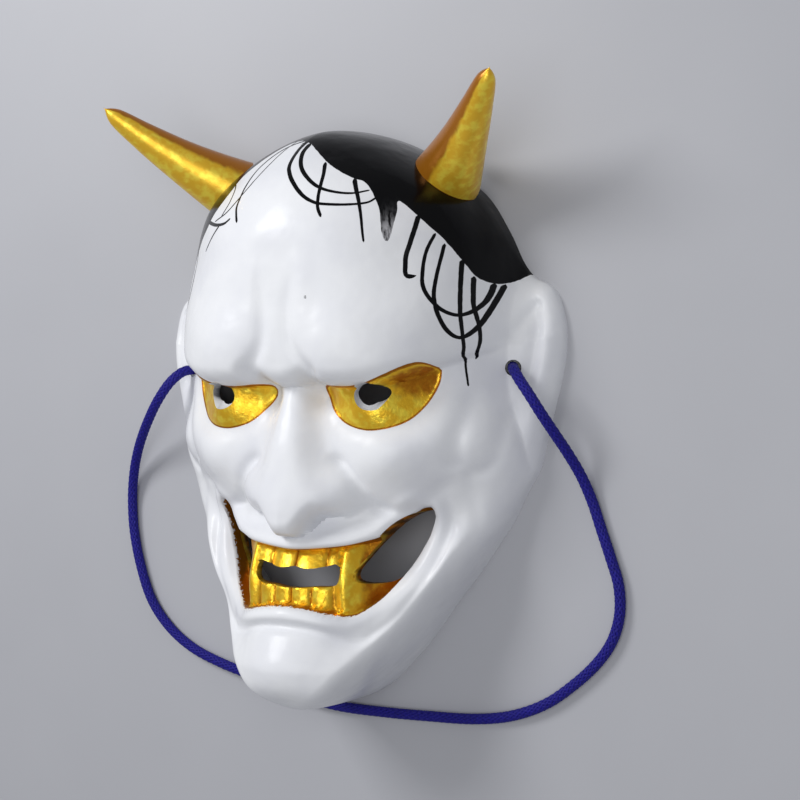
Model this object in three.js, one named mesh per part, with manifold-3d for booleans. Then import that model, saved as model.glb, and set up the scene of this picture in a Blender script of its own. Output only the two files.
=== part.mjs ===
// A hannya mask lying on its rim: one moulded face with horns, ears and teeth, and its elastic cord.
// Millimetres. X runs to the viewer's right, Y up the face, Z out of the face; the rim's plane is Z = 0.
import * as THREE from 'three';
import { mergeVertices } from 'three/addons/utils/BufferGeometryUtils.js';
import Module from 'manifold-3d';

const wasm = await Module();
wasm.setup();

// Sizes of the moulding
const FACE_HEIGHT = 213.5;
const FACE_WIDTH = 168;
const FACE_DEPTH = 66;
const WALL = 3;
const RIM_BAND = 3.4;
const CHIN_BAND = 4.4;
const HORN_FOOT_RADIUS = 12.6;
const HORN_TIP_RADIUS = 1.4;
const HORN_RISE = 28.8;
const HORN_SPREAD = 34.4;
const HORN_REACH = 38.7;
const PUPIL_WIDTH = 12.4;
const PUPIL_HEIGHT = 9.6;
const PUPIL_INNER_HEIGHT = 6.7;
const PUPIL_LIP = 47.5;
const CUT_TOP = FACE_DEPTH * 1.5;

// Sizes of the cord
const CORD_DIAMETER = 4;
const CORD_PLAY = 0.9;
const KNOT_RADIUS = 3.6;
const KNOT_GAP = 0.5;

// Fineness of the facets
const FACE_ROWS = 50;
const FACE_COLUMNS = 36;
const HOLLOW_ROWS = 22;
const HOLLOW_COLUMNS = 18;
const HORN_RINGS = 9;
const HORN_SIDES = 14;
const PUPIL_SIDES = 18;
const CORD_STEPS = 62;
const CORD_SIDES = 8;

// The carving is drawn in steps, 213.5 from chin to crown, 168 across the ears and 66 deep.
const STEP = new THREE.Vector3(FACE_WIDTH / 168, FACE_HEIGHT / 213.5, FACE_DEPTH / 66);
const CENTRE_Y = -12;
const EYE_DEPTH = 1.6;
const MOUTH_DEPTH = 6.8;
const ROW_RISE = 24;

// Half of the rim, from the crown to the chin by the ear
const RIM_HALF = [
  [0, 101], [14, 98.5], [28, 92.5], [41, 84], [53.5, 74], [62, 61], [67.5, 50], [72, 44.5], [77.5, 41.8],
  [81.5, 37], [84, 27], [84, 17], [82.5, 8], [80, -2], [77, -14], [74.5, -24], [70, -32], [64.5, -43],
  [58.5, -52], [50, -64], [42.5, -73.5], [33.5, -86], [25, -96], [13.5, -107], [0, -112.5],
];

// Up the face: height on the middle line, half width of the head, and the roundness of its section
const LEVEL = [
  [-113, 40.3], [-104, 52.9], [-95, 55.2], [-85, 53.3], [-75, 53.4], [-65, 53.6], [-55, 50],
  [-42, 45.6], [-30, 44.8], [-14, 46.1], [0, 47], [16, 51], [32, 56.3], [48, 60.4], [62, 60],
  [76, 54.4], [88, 45.1], [101, 29.4],
];
const HALF_WIDTH = [
  [-113, 33], [-104, 39.6], [-95, 45.6], [-85, 52.8], [-75, 60.3], [-65, 67.8], [-55, 72.8],
  [-42, 75.3], [-30, 73.3], [-14, 71.5], [0, 67.6], [16, 66.7], [32, 67.2], [48, 68], [62, 68.3],
  [76, 66.3], [88, 62.2], [101, 56.6],
];
const ROUNDNESS = [
  [-113, 2.92], [-104, 2.79], [-95, 2.52], [-85, 2.05], [-75, 1.58], [-65, 1.38], [-55, 1.32],
  [-42, 1.2], [-30, 1.46], [-14, 2.26], [0, 2.56], [16, 2.56], [32, 2.45], [48, 2.22], [62, 1.97],
  [76, 1.71], [88, 1.37], [101, 1.2],
];
const FALL = [
  [-113, 0.57], [-104, 0.49], [-95, 0.43], [-85, 0.42], [-75, 0.44], [-65, 0.47], [-55, 0.52],
  [-42, 0.6], [-30, 0.59], [-14, 0.45], [0, 0.51], [16, 0.61], [32, 0.67], [48, 0.72], [62, 0.73],
  [76, 0.72], [88, 0.73], [101, 0.72],
];
const EAR_LEVEL = [
  [-112, 0], [-45, 0], [-34, 4.5], [-20, 8.5], [0, 10], [20, 10], [36, 7.5], [44, 4.5], [52, 0], [102, 0],
];
// How far from the rim the outer skin has turned over
const EDGE_TURN = [[-113, 5], [-100, 6], [-80, 8], [-60, 10], [-40, 12], [102, 12]];
// Up the nose: how far it stands out and half its width
const NOSE_RIDGE = [
  [-49, 11.5], [-38, 13.5], [-30, 12.5], [-20, 10.5], [-10, 7.5], [0, 4], [6, 1.5], [12, 0],
];
const NOSE_HALF_WIDTH = [[-48, 13.5], [-38, 15], [-28, 13.6], [-18, 10.6], [-8, 8.4], [4, 7], [12, 7]];
// Out from the middle: how far the brows stand out
const BROW_CREST = [
  [0, 9.6], [8, 10], [18, 12], [30, 12.5], [42, 11.5], [52, 9], [60, 5], [68, 0], [90, 0],
];

// Outlines drawn on the right half of the face
const EYE = [
  [10.3, 4.5], [13, 5.6], [19, 5], [25.5, 5], [31.8, 6.2], [38, 8.8], [43.5, 11.6], [48, 13.2],
  [50.8, 11.5], [50.3, 6.5], [48.4, 1.5], [45.5, -3.2], [41.5, -7.2], [35.5, -9.7], [28, -10.4],
  [20, -8.2], [14.4, -3.8], [11, 1],
];
const PUPIL = [31, 1.3];
const MOUTH_HALF = [
  [0, -52.6], [9, -52.1], [18, -51], [24, -49.6], [30, -47.4], [35, -43.2], [38.8, -39.8], [41.7, -37.8],
  [44.2, -37.8], [44.8, -40.6], [43.1, -45.7], [41.1, -50.6], [39, -55.2], [36.4, -59.8], [33.5, -64.4],
  [30.2, -69], [26.4, -72.7], [22.8, -75.1], [18.8, -75], [9, -73], [0, -72.2],
];
const MIDDLE_GAP_HALF = [
  [0, -58.8], [6, -59.4], [11.2, -58.6], [16.5, -57.8], [16.2, -64.6], [8, -65.6], [0, -66.2],
];
const SIDE_GAP = [
  [33.4, -43.2], [36.8, -40.6], [40, -39.2], [43, -39], [43.6, -41.6], [41.9, -46.8], [39.8, -52.2],
  [37, -57.4], [33.9, -61.6], [30.6, -64], [27, -64.6], [23.4, -64.2], [21.6, -62.6], [21.8, -59.4],
  [24.2, -55.2], [27, -50.8], [30.2, -46.6],
];
const LOWER_CREASE = [
  [0, -79], [8, -79.4], [14, -80.6], [20.6, -82.7], [25.7, -83.4], [29.6, -81], [33.8, -77.2],
  [38.3, -71.2], [43.6, -62.9], [47.6, -54], [49.4, -43], [49.3, -34.8],
];
const CHEEK_FOLD = [
  [12.5, -19.6], [17, -21.2], [20.9, -24.8], [23.6, -29], [25.4, -33.2], [28.6, -37.5], [35, -39.2],
  [42, -36.6], [48.3, -31.2], [55, -26],
];
const BROW_LINE = [
  [0, 4.9], [6, 5.2], [9, 6.4], [11.5, 6], [16, 4.6], [22, 4.2], [30, 4.4], [36, 5.3], [42, 7.2], [48, 10],
  [54, 13], [60, 16], [68, 20], [85, 24],
];
const FROWN = [[9, 50], [7, 42], [5.4, 34], [5, 27], [5.6, 21], [8.4, 15], [12.8, 10.4], [16.5, 6.8]];
const JAW_FOLD = [[55.5, -25], [57.2, -34], [58.3, -42], [56.6, -51], [50.5, -62.5], [43, -72.5]];
const EAR_RIM = [[73, 41], [78.5, 36.5], [80.2, 26], [79.5, 14], [77, 0], [73.5, -15], [71, -26]];
const EAR_SLANT = [[76.7, 36.5], [71.5, 29.5], [66, 21]];
const EAR_HOLLOW = [[74.5, 33], [75.6, 24], [74.5, 13], [72, 4]];
const EAR_FRONT = [[59.5, 6], [57.5, -6], [55, -17], [54.4, -25]];
const LOBE_EDGE = [[68.5, 2], [67.5, -9], [65.2, -20], [60.2, -24.8], [55, -25]];

// Where the horns and the cord holes stand, in steps, how the horns bend, and the way the holes point
const HORN_FOOT = new THREE.Vector3(44.8, 79.8, 17.5);
const HORN_BEND = new THREE.Vector3(1.5, -2, 1);
const HORN_LAST_RING = 0.985;
const EAR_HOLE = new THREE.Vector3(69, 11.7, 13);
const HOLE_WAY = new THREE.Vector3(0.42, -0.12, 0.9).normalize();

const { smoothstep, clamp } = THREE.MathUtils;

// A smooth line through knots [place, value]
function profile(knots, place) {
  const last = knots.length - 1;
  const t = clamp(place, knots[0][0], knots[last][0]);
  let i = 0;
  while (i < last - 1 && t > knots[i + 1][0]) i += 1;
  const slope = (k) => {
    const [a, b] = [knots[Math.max(k - 1, 0)], knots[Math.min(k + 1, last)]];
    return (b[1] - a[1]) / (b[0] - a[0]);
  };
  const [low, high] = [knots[i], knots[i + 1]];
  const width = high[0] - low[0];
  const s = (t - low[0]) / width;
  const ends = low[1] * (1 + 2 * s) * (1 - s) ** 2 + high[1] * s * s * (3 - 2 * s);
  return ends + width * s * (1 - s) * (slope(i) * (1 - s) - slope(i + 1) * s);
}

// Points along a smooth line through the drawn ones
function smoothLine(points, perSpan, closed = false) {
  const places = points.map(([x, y]) => new THREE.Vector3(x, y, 0));
  const curve = new THREE.CatmullRomCurve3(places, closed, 'catmullrom');
  const spans = closed ? points.length : points.length - 1;
  const line = curve.getPoints(spans * perSpan).map((p) => [p.x, p.y]);
  return closed ? line.slice(0, -1) : line;
}

// The whole outline from its right half, which runs from the top of the middle line to its bottom
const mirrored = (half) => [...half, ...half.slice(1, -1).reverse().map(([x, y]) => [-x, y])];

// Two like swellings on the face, or one on the middle line
function bump(x, y, [cx, cy], [rx, ry], turn = 0) {
  const [c, s] = [Math.cos(turn), Math.sin(turn)];
  const side = (across) => {
    const [dx, dy] = [across - cx, y - cy];
    return Math.exp(-(((c * dx + s * dy) / rx) ** 2) - ((c * dy - s * dx) / ry) ** 2);
  };
  return cx ? side(x) + side(-x) : side(x);
}

// Distance from a place to a line of points, and how far along the line that is, from 0 to 1
function nearest(x, y, line, closed = false) {
  let best = Infinity;
  let along = 0;
  const spans = closed ? line.length : line.length - 1;
  for (let i = 0; i < spans; i += 1) {
    const [ax, ay] = line[i];
    const [bx, by] = line[(i + 1) % line.length];
    const [ex, ey] = [bx - ax, by - ay];
    const t = clamp(((x - ax) * ex + (y - ay) * ey) / (ex * ex + ey * ey), 0, 1);
    const d = Math.hypot(x - ax - t * ex, y - ay - t * ey);
    if (d < best) {
      best = d;
      along = (i + t) / spans;
    }
  }
  return [best, along];
}

// Distance to a closed outline, negative inside it
function outside(x, y, loop) {
  let inside = false;
  loop.forEach(([ax, ay], i) => {
    const [bx, by] = loop[(i + 1) % loop.length];
    if (ay > y !== by > y && x < ax + ((y - ay) * (bx - ax)) / (by - ay)) inside = !inside;
  });
  const [d] = nearest(x, y, loop, true);
  return inside ? -d : d;
}

// A groove cut along a line on both halves of the face, fading at its ends; a negative depth is a ridge
function groove(line, width, startDepth, endDepth = startDepth, fade = 0.15) {
  const points = smoothLine(line, 3);
  return (x, y) => {
    const [d, t] = nearest(Math.abs(x), y, points);
    const ends = fade ? smoothstep(t, 0, fade) * smoothstep(1 - t, 0, fade) : 1;
    return -(startDepth + (endDepth - startDepth) * t) * ends * Math.exp(-((d / width) ** 2));
  };
}

const eyeLoop = smoothLine(EYE, 3, true);
const mouthLoop = smoothLine(mirrored(MOUTH_HALF), 2, true);
const frown = groove(FROWN, 2.6, 0, 2.4);
const cheekFold = groove(CHEEK_FOLD, 2.5, 2.6, 2.4);
const lowerCrease = groove(LOWER_CREASE, 1.8, 2.2, 1, 0);
const jawFold = groove(JAW_FOLD, 2.6, 0.9);
const earCarving = [
  groove(EAR_RIM, 3, -2, -1),
  groove(EAR_SLANT, 1.8, 2, 1.2),
  groove(EAR_HOLLOW, 2, 1.2),
  groove(EAR_FRONT, 3, 1.6, 2.4),
  groove(LOBE_EDGE, 2.2, 1.4, 2),
];

// The head's round form with the flat ears beside it
function headForm(x, y) {
  const across = clamp(Math.abs(x) / profile(HALF_WIDTH, y), 0, 1);
  const head = profile(LEVEL, y) * (1 - across ** profile(ROUNDNESS, y)) ** profile(FALL, y);
  const ear = profile(EAR_LEVEL, y) * (1.37 - 0.75 * smoothstep(Math.abs(x), 62, 84));
  const blend = 5;
  const joined = Math.log(Math.exp(head / blend) + Math.exp(ear / blend));
  return blend * (joined - Math.log1p(Math.exp(-profile(LEVEL, y) / blend)));
}

// Rises from 0 to 1 like a quarter of a circle, as a rolled edge does
const roll = (t) => Math.sqrt(1 - (1 - clamp(t, 0, 1)) ** 2);

// Heavy brows rolled over hollow sockets
function brows(x, y) {
  const a = Math.abs(x);
  const above = y - profile(BROW_LINE, a);
  const brow = profile(BROW_CREST, a) * roll(above / 7) * (1 - smoothstep(above, 6, 48));
  const swell = 2 * bump(x, y, [25, 20], [15, 11], 0.25) + 1.5 * bump(x, y, [26, 48], [18, 16]);
  const lid = Math.max(outside(a, y, eyeLoop), 0);
  const socket = 2 * Math.exp(-((lid / 5) ** 2)) * smoothstep(-above, -3, 6);
  return brow + swell + frown(x, y) - socket - 4 * bump(x, y, [9.5, 2], [5, 7]);
}

// A broad hooked nose between round cheeks
function noseAndCheeks(x, y) {
  const a = Math.abs(x);
  const edge = -48.4 + 7.6 * smoothstep(a, 2.5, 12) + 3.6 * smoothstep(a, 18, 26);
  const ridge = profile(NOSE_RIDGE, y) * Math.exp(-((a / profile(NOSE_HALF_WIDTH, y)) ** 3));
  const nose = ridge + 6.5 * bump(x, y, [17.5, -33], [8.5, 9.5]);
  const cheek = 7.5 * bump(x, y, [37, -24], [15, 13]) + 1.5 * bump(x, y, [54, 0], [10, 14]);
  const lowerLid = 3 * bump(x, y, [29, -7], [13, 9]);
  return nose * roll((y - edge) / 6) + cheek + lowerLid + cheekFold(x, y);
}

// Full lips round the open mouth, the creases under them and a round chin
function lipsAndChin(x, y) {
  const m = outside(x, y, mouthLoop);
  const lips = 2.4 * Math.exp(-(((Math.max(m, 0) - 2.6) / 3) ** 2));
  const creases = lowerCrease(x, y) * smoothstep(m, 0, 3) + jawFold(x, y);
  const drawnIn = 11.5 * bump(x, y, [36.5, -59.5], [8, 24], -0.52);
  return lips + creases + 6.5 * bump(x, y, [0, -92], [19, 13.5]) - drawnIn;
}

// Two rows of teeth and the long fangs, which meet in two posts
function teeth(x, y) {
  const a = Math.abs(x);
  const post = 3.4 * Math.exp(-(((a - 19.4 + 0.06 * (y + 62)) / 3) ** 2));
  const row = (toothWidth) => 2 * Math.abs(Math.sin((Math.PI * a) / toothWidth)) ** 0.5;
  const upper = a < 16.5 ? smoothstep(y, -62, -60) * row(11.2) : 0;
  const lower = a < 15 ? smoothstep(-y, 64, 66) * row(7.5) : 0;
  return post + upper + lower;
}

const rimHalf = smoothLine([[-14, 98.5], ...RIM_HALF, [-13.5, -107]], 6).slice(6, -6);
const rimLoop = mirrored(rimHalf);

// Height of the outer skin over the rim's plane before the mouth and the eyes are sunk, in steps
function skinHeight(x, y) {
  const [fromRim] = nearest(Math.abs(x), y, rimHalf);
  if (outside(x, y, rimLoop) >= 0) return 0;
  const carved = headForm(x, y) + brows(x, y) + noseAndCheeks(x, y) + lipsAndChin(x, y)
    + earCarving.reduce((sum, cut) => sum + cut(x, y), 0);
  const edge = 1 - Math.min(fromRim / profile(EDGE_TURN, y), 1);
  return Math.max(carved, 0) * Math.sqrt(1 - edge ** 4);
}

const eyeHeight = (x, y) => skinHeight(x, y) - EYE_DEPTH + 6.4 * bump(x, y, [31, 0], [12, 9.5]);
const teethHeight = (x, y) => skinHeight(x, y) - MOUTH_DEPTH + teeth(x, y);

// Height of the whole outer face, in steps
function faceHeight(x, y) {
  if (outside(x, y, mouthLoop) < 0) return teethHeight(x, y);
  return outside(Math.abs(x), y, eyeLoop) < 0 ? eyeHeight(x, y) : skinHeight(x, y);
}

// Height of the hollow: a ball as thick as the wall rolls under the outer face
function hollowHeight(x, y) {
  let lowest = faceHeight(x, y) * STEP.z - WALL;
  for (const tilt of [0.6, 1.1, 1.5]) {
    for (let k = 0; k < 8; k += 1) {
      const turn = (k * Math.PI) / 4;
      const out = WALL * Math.sin(tilt);
      const [sideX, sideY] = [x + (out * Math.cos(turn)) / STEP.x, y + (out * Math.sin(turn)) / STEP.y];
      lowest = Math.min(lowest, faceHeight(sideX, sideY) * STEP.z - WALL * Math.cos(tilt));
    }
  }
  return lowest;
}

// Half the width of an outline at a height, from its right half, which runs down
function halfWidth(half, y) {
  const i = clamp(half.findIndex((p) => p[1] <= y), 1, half.length - 1);
  const [[ax, ay], [bx, by]] = [half[i - 1], half[i]];
  return ax + ((bx - ax) * (ay - y)) / (ay - by);
}

// Places inside an outline, in rows that rise beside the brows and the mouth; the end rows are one place
function rowsInside(half, rows, columns) {
  const [top, bottom] = [half[0][1], half.at(-1)[1]];
  return Array.from({ length: rows + 1 }, (_, i) => {
    const v = i / rows;
    const down = 0.7 * v + 0.15 * (1 - Math.cos(Math.PI * v));
    const rise = ROW_RISE * Math.sin(Math.PI * down) ** 0.8;
    if (i === 0 || i === rows) return [[0, i ? bottom : top]];
    return Array.from({ length: columns + 1 }, (_, j) => {
      const k = (2 * j) / columns - 1;
      const u = 0.72 * k + 0.28 * Math.sin((k * Math.PI) / 2);
      const y = top + (bottom - top) * down + rise * u * u * Math.min(1, 4 * (1 - down));
      return [u * halfWidth(half, Math.min(y, top)), y];
    });
  });
}

// A closed body under a surface over those rows, with its edge brought down to the floor
function bodyUnder(rows, heightAt, floor, edgeHeight) {
  const points = [];
  const add = (x, y, z) => points.push(new THREE.Vector3(x * STEP.x, y * STEP.y, z)) - 1;
  const edge = (i, j, row) => i === 0 || i === rows.length - 1 || j === 0 || j === row.length - 1;
  const height = (x, y, atEdge) => (atEdge ? edgeHeight(x, y) : heightAt(x, y));
  const top = rows.map((row, i) => row.map(([x, y], j) => add(x, y, height(x, y, edge(i, j, row)))));
  const index = [];
  for (let i = 0; i < top.length - 1; i += 1) {
    const [upper, lower] = [top[i], top[i + 1]];
    for (let j = 0; j < Math.max(upper.length, lower.length) - 1; j += 1) {
      const at = (row, k) => row[Math.min(k, row.length - 1)];
      if (lower.length > 1) index.push(at(upper, j), lower[j], lower[j + 1]);
      if (upper.length > 1) index.push(upper[j], at(lower, j + 1), upper[j + 1]);
    }
  }
  const inner = top.slice(1, -1);
  const [right, left] = [inner.map((row) => row.at(-1)), inner.map((row) => row[0]).reverse()];
  const rim = [top[0][0], ...right, top.at(-1)[0], ...left];
  const below = ({ x, y }) => add(x / STEP.x, y / STEP.y, floor);
  const low = rim.map((k) => (points[k].z > floor ? below(points[k]) : k));
  const centre = add(0, CENTRE_Y, floor);
  rim.forEach((k, n) => {
    const next = (n + 1) % rim.length;
    if (low[n] !== k) index.push(k, rim[next], low[n], rim[next], low[next], low[n]);
    index.push(low[n], low[next], centre);
  });
  const geometry = new THREE.BufferGeometry().setFromPoints(points);
  geometry.setIndex(index);
  return geometry;
}

// A closed body from loops of points between two poles; each loop turns anticlockwise for the far pole
function loopBody(firstPole, loops, lastPole) {
  const points = [firstPole, ...loops.flat(), lastPole];
  const count = loops[0].length;
  const index = [];
  for (let j = 0; j < count; j += 1) {
    const next = (j + 1) % count;
    index.push(0, 1 + next, 1 + j);
    for (let i = 0; i < loops.length - 1; i += 1) {
      const [a, b] = [1 + i * count, 1 + (i + 1) * count];
      index.push(a + j, b + next, b + j, a + j, a + next, b + next);
    }
    const last = 1 + (loops.length - 1) * count;
    index.push(last + j, last + next, points.length - 1);
  }
  const geometry = new THREE.BufferGeometry().setFromPoints(points);
  geometry.setIndex(index);
  return geometry;
}

function solid(geometry) {
  const bare = geometry.clone();
  bare.deleteAttribute('normal');
  bare.deleteAttribute('uv');
  const merged = mergeVertices(bare);
  return new wasm.Manifold(new wasm.Mesh({
    numProp: 3,
    vertProperties: new Float32Array(merged.attributes.position.array),
    triVerts: new Uint32Array(merged.index.array),
  }));
}

function geometryOf(body) {
  const mesh = body.getMesh();
  const geometry = new THREE.BufferGeometry();
  geometry.setAttribute('position', new THREE.BufferAttribute(new Float32Array(mesh.vertProperties), 3));
  geometry.setIndex(new THREE.BufferAttribute(new Uint32Array(mesh.triVerts), 1));
  geometry.computeVertexNormals();
  return geometry;
}

const outerBody = () => solid(bodyUnder(
  rowsInside(rimHalf, FACE_ROWS, FACE_COLUMNS),
  (x, y) => skinHeight(x, y) * STEP.z,
  0,
  () => 0,
));

function hollowBody() {
  const half = rimHalf.map(([x, y], i) => {
    const [before, after] = [rimHalf[Math.max(i - 1, 0)], rimHalf[Math.min(i + 1, rimHalf.length - 1)]];
    const along = new THREE.Vector2((after[0] - before[0]) * STEP.x, (after[1] - before[1]) * STEP.y);
    along.normalize();
    return [Math.max(x + (along.y * RIM_BAND) / STEP.x, 0), y - (along.x * RIM_BAND) / STEP.y];
  });
  half[0] = [0, rimHalf[0][1] - RIM_BAND / STEP.y];
  half[half.length - 1] = [0, rimHalf.at(-1)[1] + CHIN_BAND / STEP.y];
  const isEnd = (i) => i === 0 || i === half.length - 1;
  const between = ([x, y]) => x > 0 && y < half[0][1] && y > half.at(-1)[1];
  const falling = half.filter((p, i) => isEnd(i) || between(p));
  const heightAt = (x, y) => Math.max(hollowHeight(x, y), WALL / 3);
  return solid(bodyUnder(rowsInside(falling, HOLLOW_ROWS, HOLLOW_COLUMNS), heightAt, -WALL, heightAt));
}

// A horn that thins and bends a little from its flared foot to its round tip
function horn(side) {
  const foot = HORN_FOOT.clone().multiply(STEP);
  const tip = foot.clone().add(new THREE.Vector3(HORN_SPREAD, HORN_RISE, HORN_REACH));
  const middle = foot.clone().lerp(tip, 0.5).add(HORN_BEND);
  const path = new THREE.QuadraticBezierCurve3(foot, middle, tip);
  const taper = [[0, 1], [0.15, 0.86], [0.4, 0.63], [0.7, 0.375], [0.92, 0.15], [1, 0]];
  const mirror = new THREE.Vector3(side, 1, 1);
  const loops = Array.from({ length: HORN_RINGS }, (_, i) => {
    const t = (HORN_LAST_RING * i) / (HORN_RINGS - 1);
    const along = path.getTangent(t);
    const across = new THREE.Vector3().crossVectors(along, new THREE.Vector3(0, 0, 1)).normalize();
    const up = new THREE.Vector3().crossVectors(along, across);
    const radius = HORN_TIP_RADIUS * t + (HORN_FOOT_RADIUS - HORN_TIP_RADIUS * t) * profile(taper, t);
    return Array.from({ length: HORN_SIDES }, (_, k) => {
      const turn = (2 * Math.PI * side * k) / HORN_SIDES;
      const point = path.getPoint(t).addScaledVector(across, radius * Math.cos(turn));
      return point.addScaledVector(up, radius * Math.sin(turn)).multiply(mirror);
    });
  });
  return solid(loopBody(foot.multiply(mirror), loops, tip.multiply(mirror)));
}

// A straight cut out through the face, from inside the hollow
function cut(loop) {
  const shape = new THREE.Shape(loop.map(([x, y]) => new THREE.Vector2(x * STEP.x, y * STEP.y)));
  return solid(new THREE.ExtrudeGeometry(shape, { depth: CUT_TOP, bevelEnabled: false }));
}

// A pupil's hole, whose lower wall slopes up to its narrower inner side
function pupilCut(side) {
  const middle = new THREE.Vector3(side * PUPIL[0] * STEP.x, PUPIL[1] * STEP.y, 0);
  const section = (height, level) => Array.from({ length: PUPIL_SIDES }, (_, k) => {
    const turn = (2 * Math.PI * k) / PUPIL_SIDES;
    const up = (PUPIL_HEIGHT - height) / 2 + (height / 2) * Math.sin(turn);
    return new THREE.Vector3((PUPIL_WIDTH / 2) * Math.cos(turn), up, level).add(middle);
  });
  const sections = [
    section(PUPIL_INNER_HEIGHT, 0),
    section(PUPIL_INNER_HEIGHT, PUPIL_LIP - WALL),
    section(PUPIL_HEIGHT, PUPIL_LIP),
    section(PUPIL_HEIGHT, CUT_TOP),
  ];
  return solid(loopBody(middle, sections, middle.clone().setZ(CUT_TOP)));
}

function cordHoleCut(side) {
  const radius = CORD_DIAMETER / 2 + CORD_PLAY;
  const hole = new THREE.CylinderGeometry(radius, radius, WALL * 6, 12);
  const way = new THREE.Vector3(side * HOLE_WAY.x, HOLE_WAY.y, HOLE_WAY.z);
  hole.applyQuaternion(new THREE.Quaternion().setFromUnitVectors(new THREE.Vector3(0, 1, 0), way));
  const place = EAR_HOLE.clone().multiply(STEP);
  return solid(hole.translate(side * place.x, place.y, place.z));
}

// What is taken away inside an outline to leave a sunk surface there
function pocket(loop, columns, rows, heightAt) {
  const [xs, ys] = [loop.map((p) => p[0]), loop.map((p) => p[1])];
  const [left, right] = [Math.min(...xs) - 1, Math.max(...xs) + 1];
  const [bottom, top] = [Math.min(...ys) - 1, Math.max(...ys) + 1];
  const block = new THREE.BoxGeometry(right - left, top - bottom, 2, columns, rows, 1);
  block.translate((left + right) / 2, (bottom + top) / 2, 0);
  const place = block.attributes.position;
  for (let i = 0; i < place.count; i += 1) {
    const [x, y] = [place.getX(i), place.getY(i)];
    place.setXYZ(i, x * STEP.x, y * STEP.y, place.getZ(i) > 0 ? heightAt(x, y) * STEP.z : -FACE_DEPTH);
  }
  return cut(loop).subtract(solid(block));
}

function maskBody() {
  const sides = [1, -1];
  const flipped = (loop) => loop.map(([x, y]) => [-x, y]);
  const sideGap = smoothLine(SIDE_GAP, 2, true);
  const cuts = [
    pocket(mouthLoop, 38, 13, teethHeight),
    pocket(eyeLoop, 10, 8, eyeHeight),
    pocket(flipped(eyeLoop), 10, 8, eyeHeight),
    hollowBody(),
    cut(smoothLine(mirrored(MIDDLE_GAP_HALF), 2, true)),
    cut(sideGap),
    cut(flipped(sideGap)),
    ...sides.map(pupilCut),
    ...sides.map(cordHoleCut),
  ];
  const whole = sides.reduce((body, side) => body.add(horn(side)), outerBody());
  return cuts.reduce((body, tool) => body.subtract(tool), whole);
}

// The cord's way from the right ear over the floor, round below the chin and up to the left ear.
// Each point is [x, y, height over the floor]; the cord rests on the floor where the height is 0.
const CORD_WAY = [
  [71.2, 10.6, 14.8], [74.4, 7.4, 17.6], [78.4, 2.4, 18.6], [82.2, -4.2, 16.8], [85.4, -11, 12.6],
  [88.6, -18.4, 7.4], [91.8, -26.4, 2.9], [95, -35.5, 0.4], [98.2, -45, 0], [101.6, -54.5, 0],
  [104.6, -64, 0], [105, -74, 0], [102.3, -83.5, 0], [96.8, -91.6, 0], [88.6, -99.6, 0],
  [77.5, -107.8, 0], [64, -113.4, 0], [49, -116, 0], [31, -116.8, 0], [12, -117.2, 0], [-8, -116.8, 0],
  [-28, -113.8, 0], [-46, -109, 0], [-62, -105, 0], [-76, -100, 0], [-87.5, -92.5, 0],
  [-96.4, -82.2, 0], [-102, -69, 0], [-105.6, -54.5, 0], [-106.4, -41, 0.3], [-103.8, -29.6, 2.6],
  [-99, -21, 6.4], [-93.2, -13.8, 10.6], [-86.6, -7, 15], [-80.4, -0.4, 18], [-74.8, 6.4, 18],
  [-71.2, 10.6, 14.8],
];

function cordBody() {
  const radius = CORD_DIAMETER / 2;
  const inHole = (side) => {
    const mirror = new THREE.Vector3(side, 1, 1);
    const mouth = EAR_HOLE.clone().multiply(STEP);
    const knot = mouth.clone().addScaledVector(HOLE_WAY, -(WALL / HOLE_WAY.z + KNOT_RADIUS + KNOT_GAP));
    return [knot, knot.clone().lerp(mouth, 0.5), mouth].map((p) => p.multiply(mirror));
  };
  const free = CORD_WAY.map(([x, y, z]) => new THREE.Vector3(x * STEP.x, y * STEP.y, radius + z * STEP.z));
  const right = inHole(1);
  const left = inHole(-1);
  const way = [...right, ...free, ...left.slice().reverse()];
  const path = new THREE.CatmullRomCurve3(way, false, 'catmullrom');
  const section = new THREE.Shape(Array.from({ length: CORD_SIDES }, (_, k) => {
    const turn = ((k + 0.5) * 2 * Math.PI) / CORD_SIDES;
    return new THREE.Vector2(radius * Math.cos(turn), radius * Math.sin(turn));
  }));
  const tube = solid(new THREE.ExtrudeGeometry(section, { steps: CORD_STEPS, extrudePath: path }));
  const knots = [right[0], left[0]].map((place) => {
    const ball = new THREE.SphereGeometry(KNOT_RADIUS, 8, 6);
    return solid(ball.translate(place.x, place.y, place.z));
  });
  return knots.reduce((body, knot) => body.add(knot), tube);
}

const whitePaint = new THREE.MeshStandardMaterial({ color: 0xe8eaef, roughness: 0.3, metalness: 0 });
const blueElastic = new THREE.MeshStandardMaterial({ color: 0x1e1496, roughness: 0.7, metalness: 0 });

const mask = new THREE.Mesh(geometryOf(maskBody()), whitePaint);
mask.name = 'mask';
const cord = new THREE.Mesh(geometryOf(cordBody()), blueElastic);
cord.name = 'elastic_cord';

// The origin is on the floor, under the middle of the mask's own length and width.
mask.geometry.computeBoundingBox();
const part = new THREE.Group();
part.add(mask, cord);
part.position.y = -(mask.geometry.boundingBox.min.y + mask.geometry.boundingBox.max.y) / 2;

export default part;
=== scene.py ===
"""A hannya mask of moulded plastic lying on its rim: white gloss paint, black hair, gold horns, eyes and
teeth, and a loop of braided elastic cord. The drawn outlines are in steps from the middle of the face."""
import math

import bmesh
import bpy
import numpy as np
from mathutils import Matrix, Vector


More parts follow.
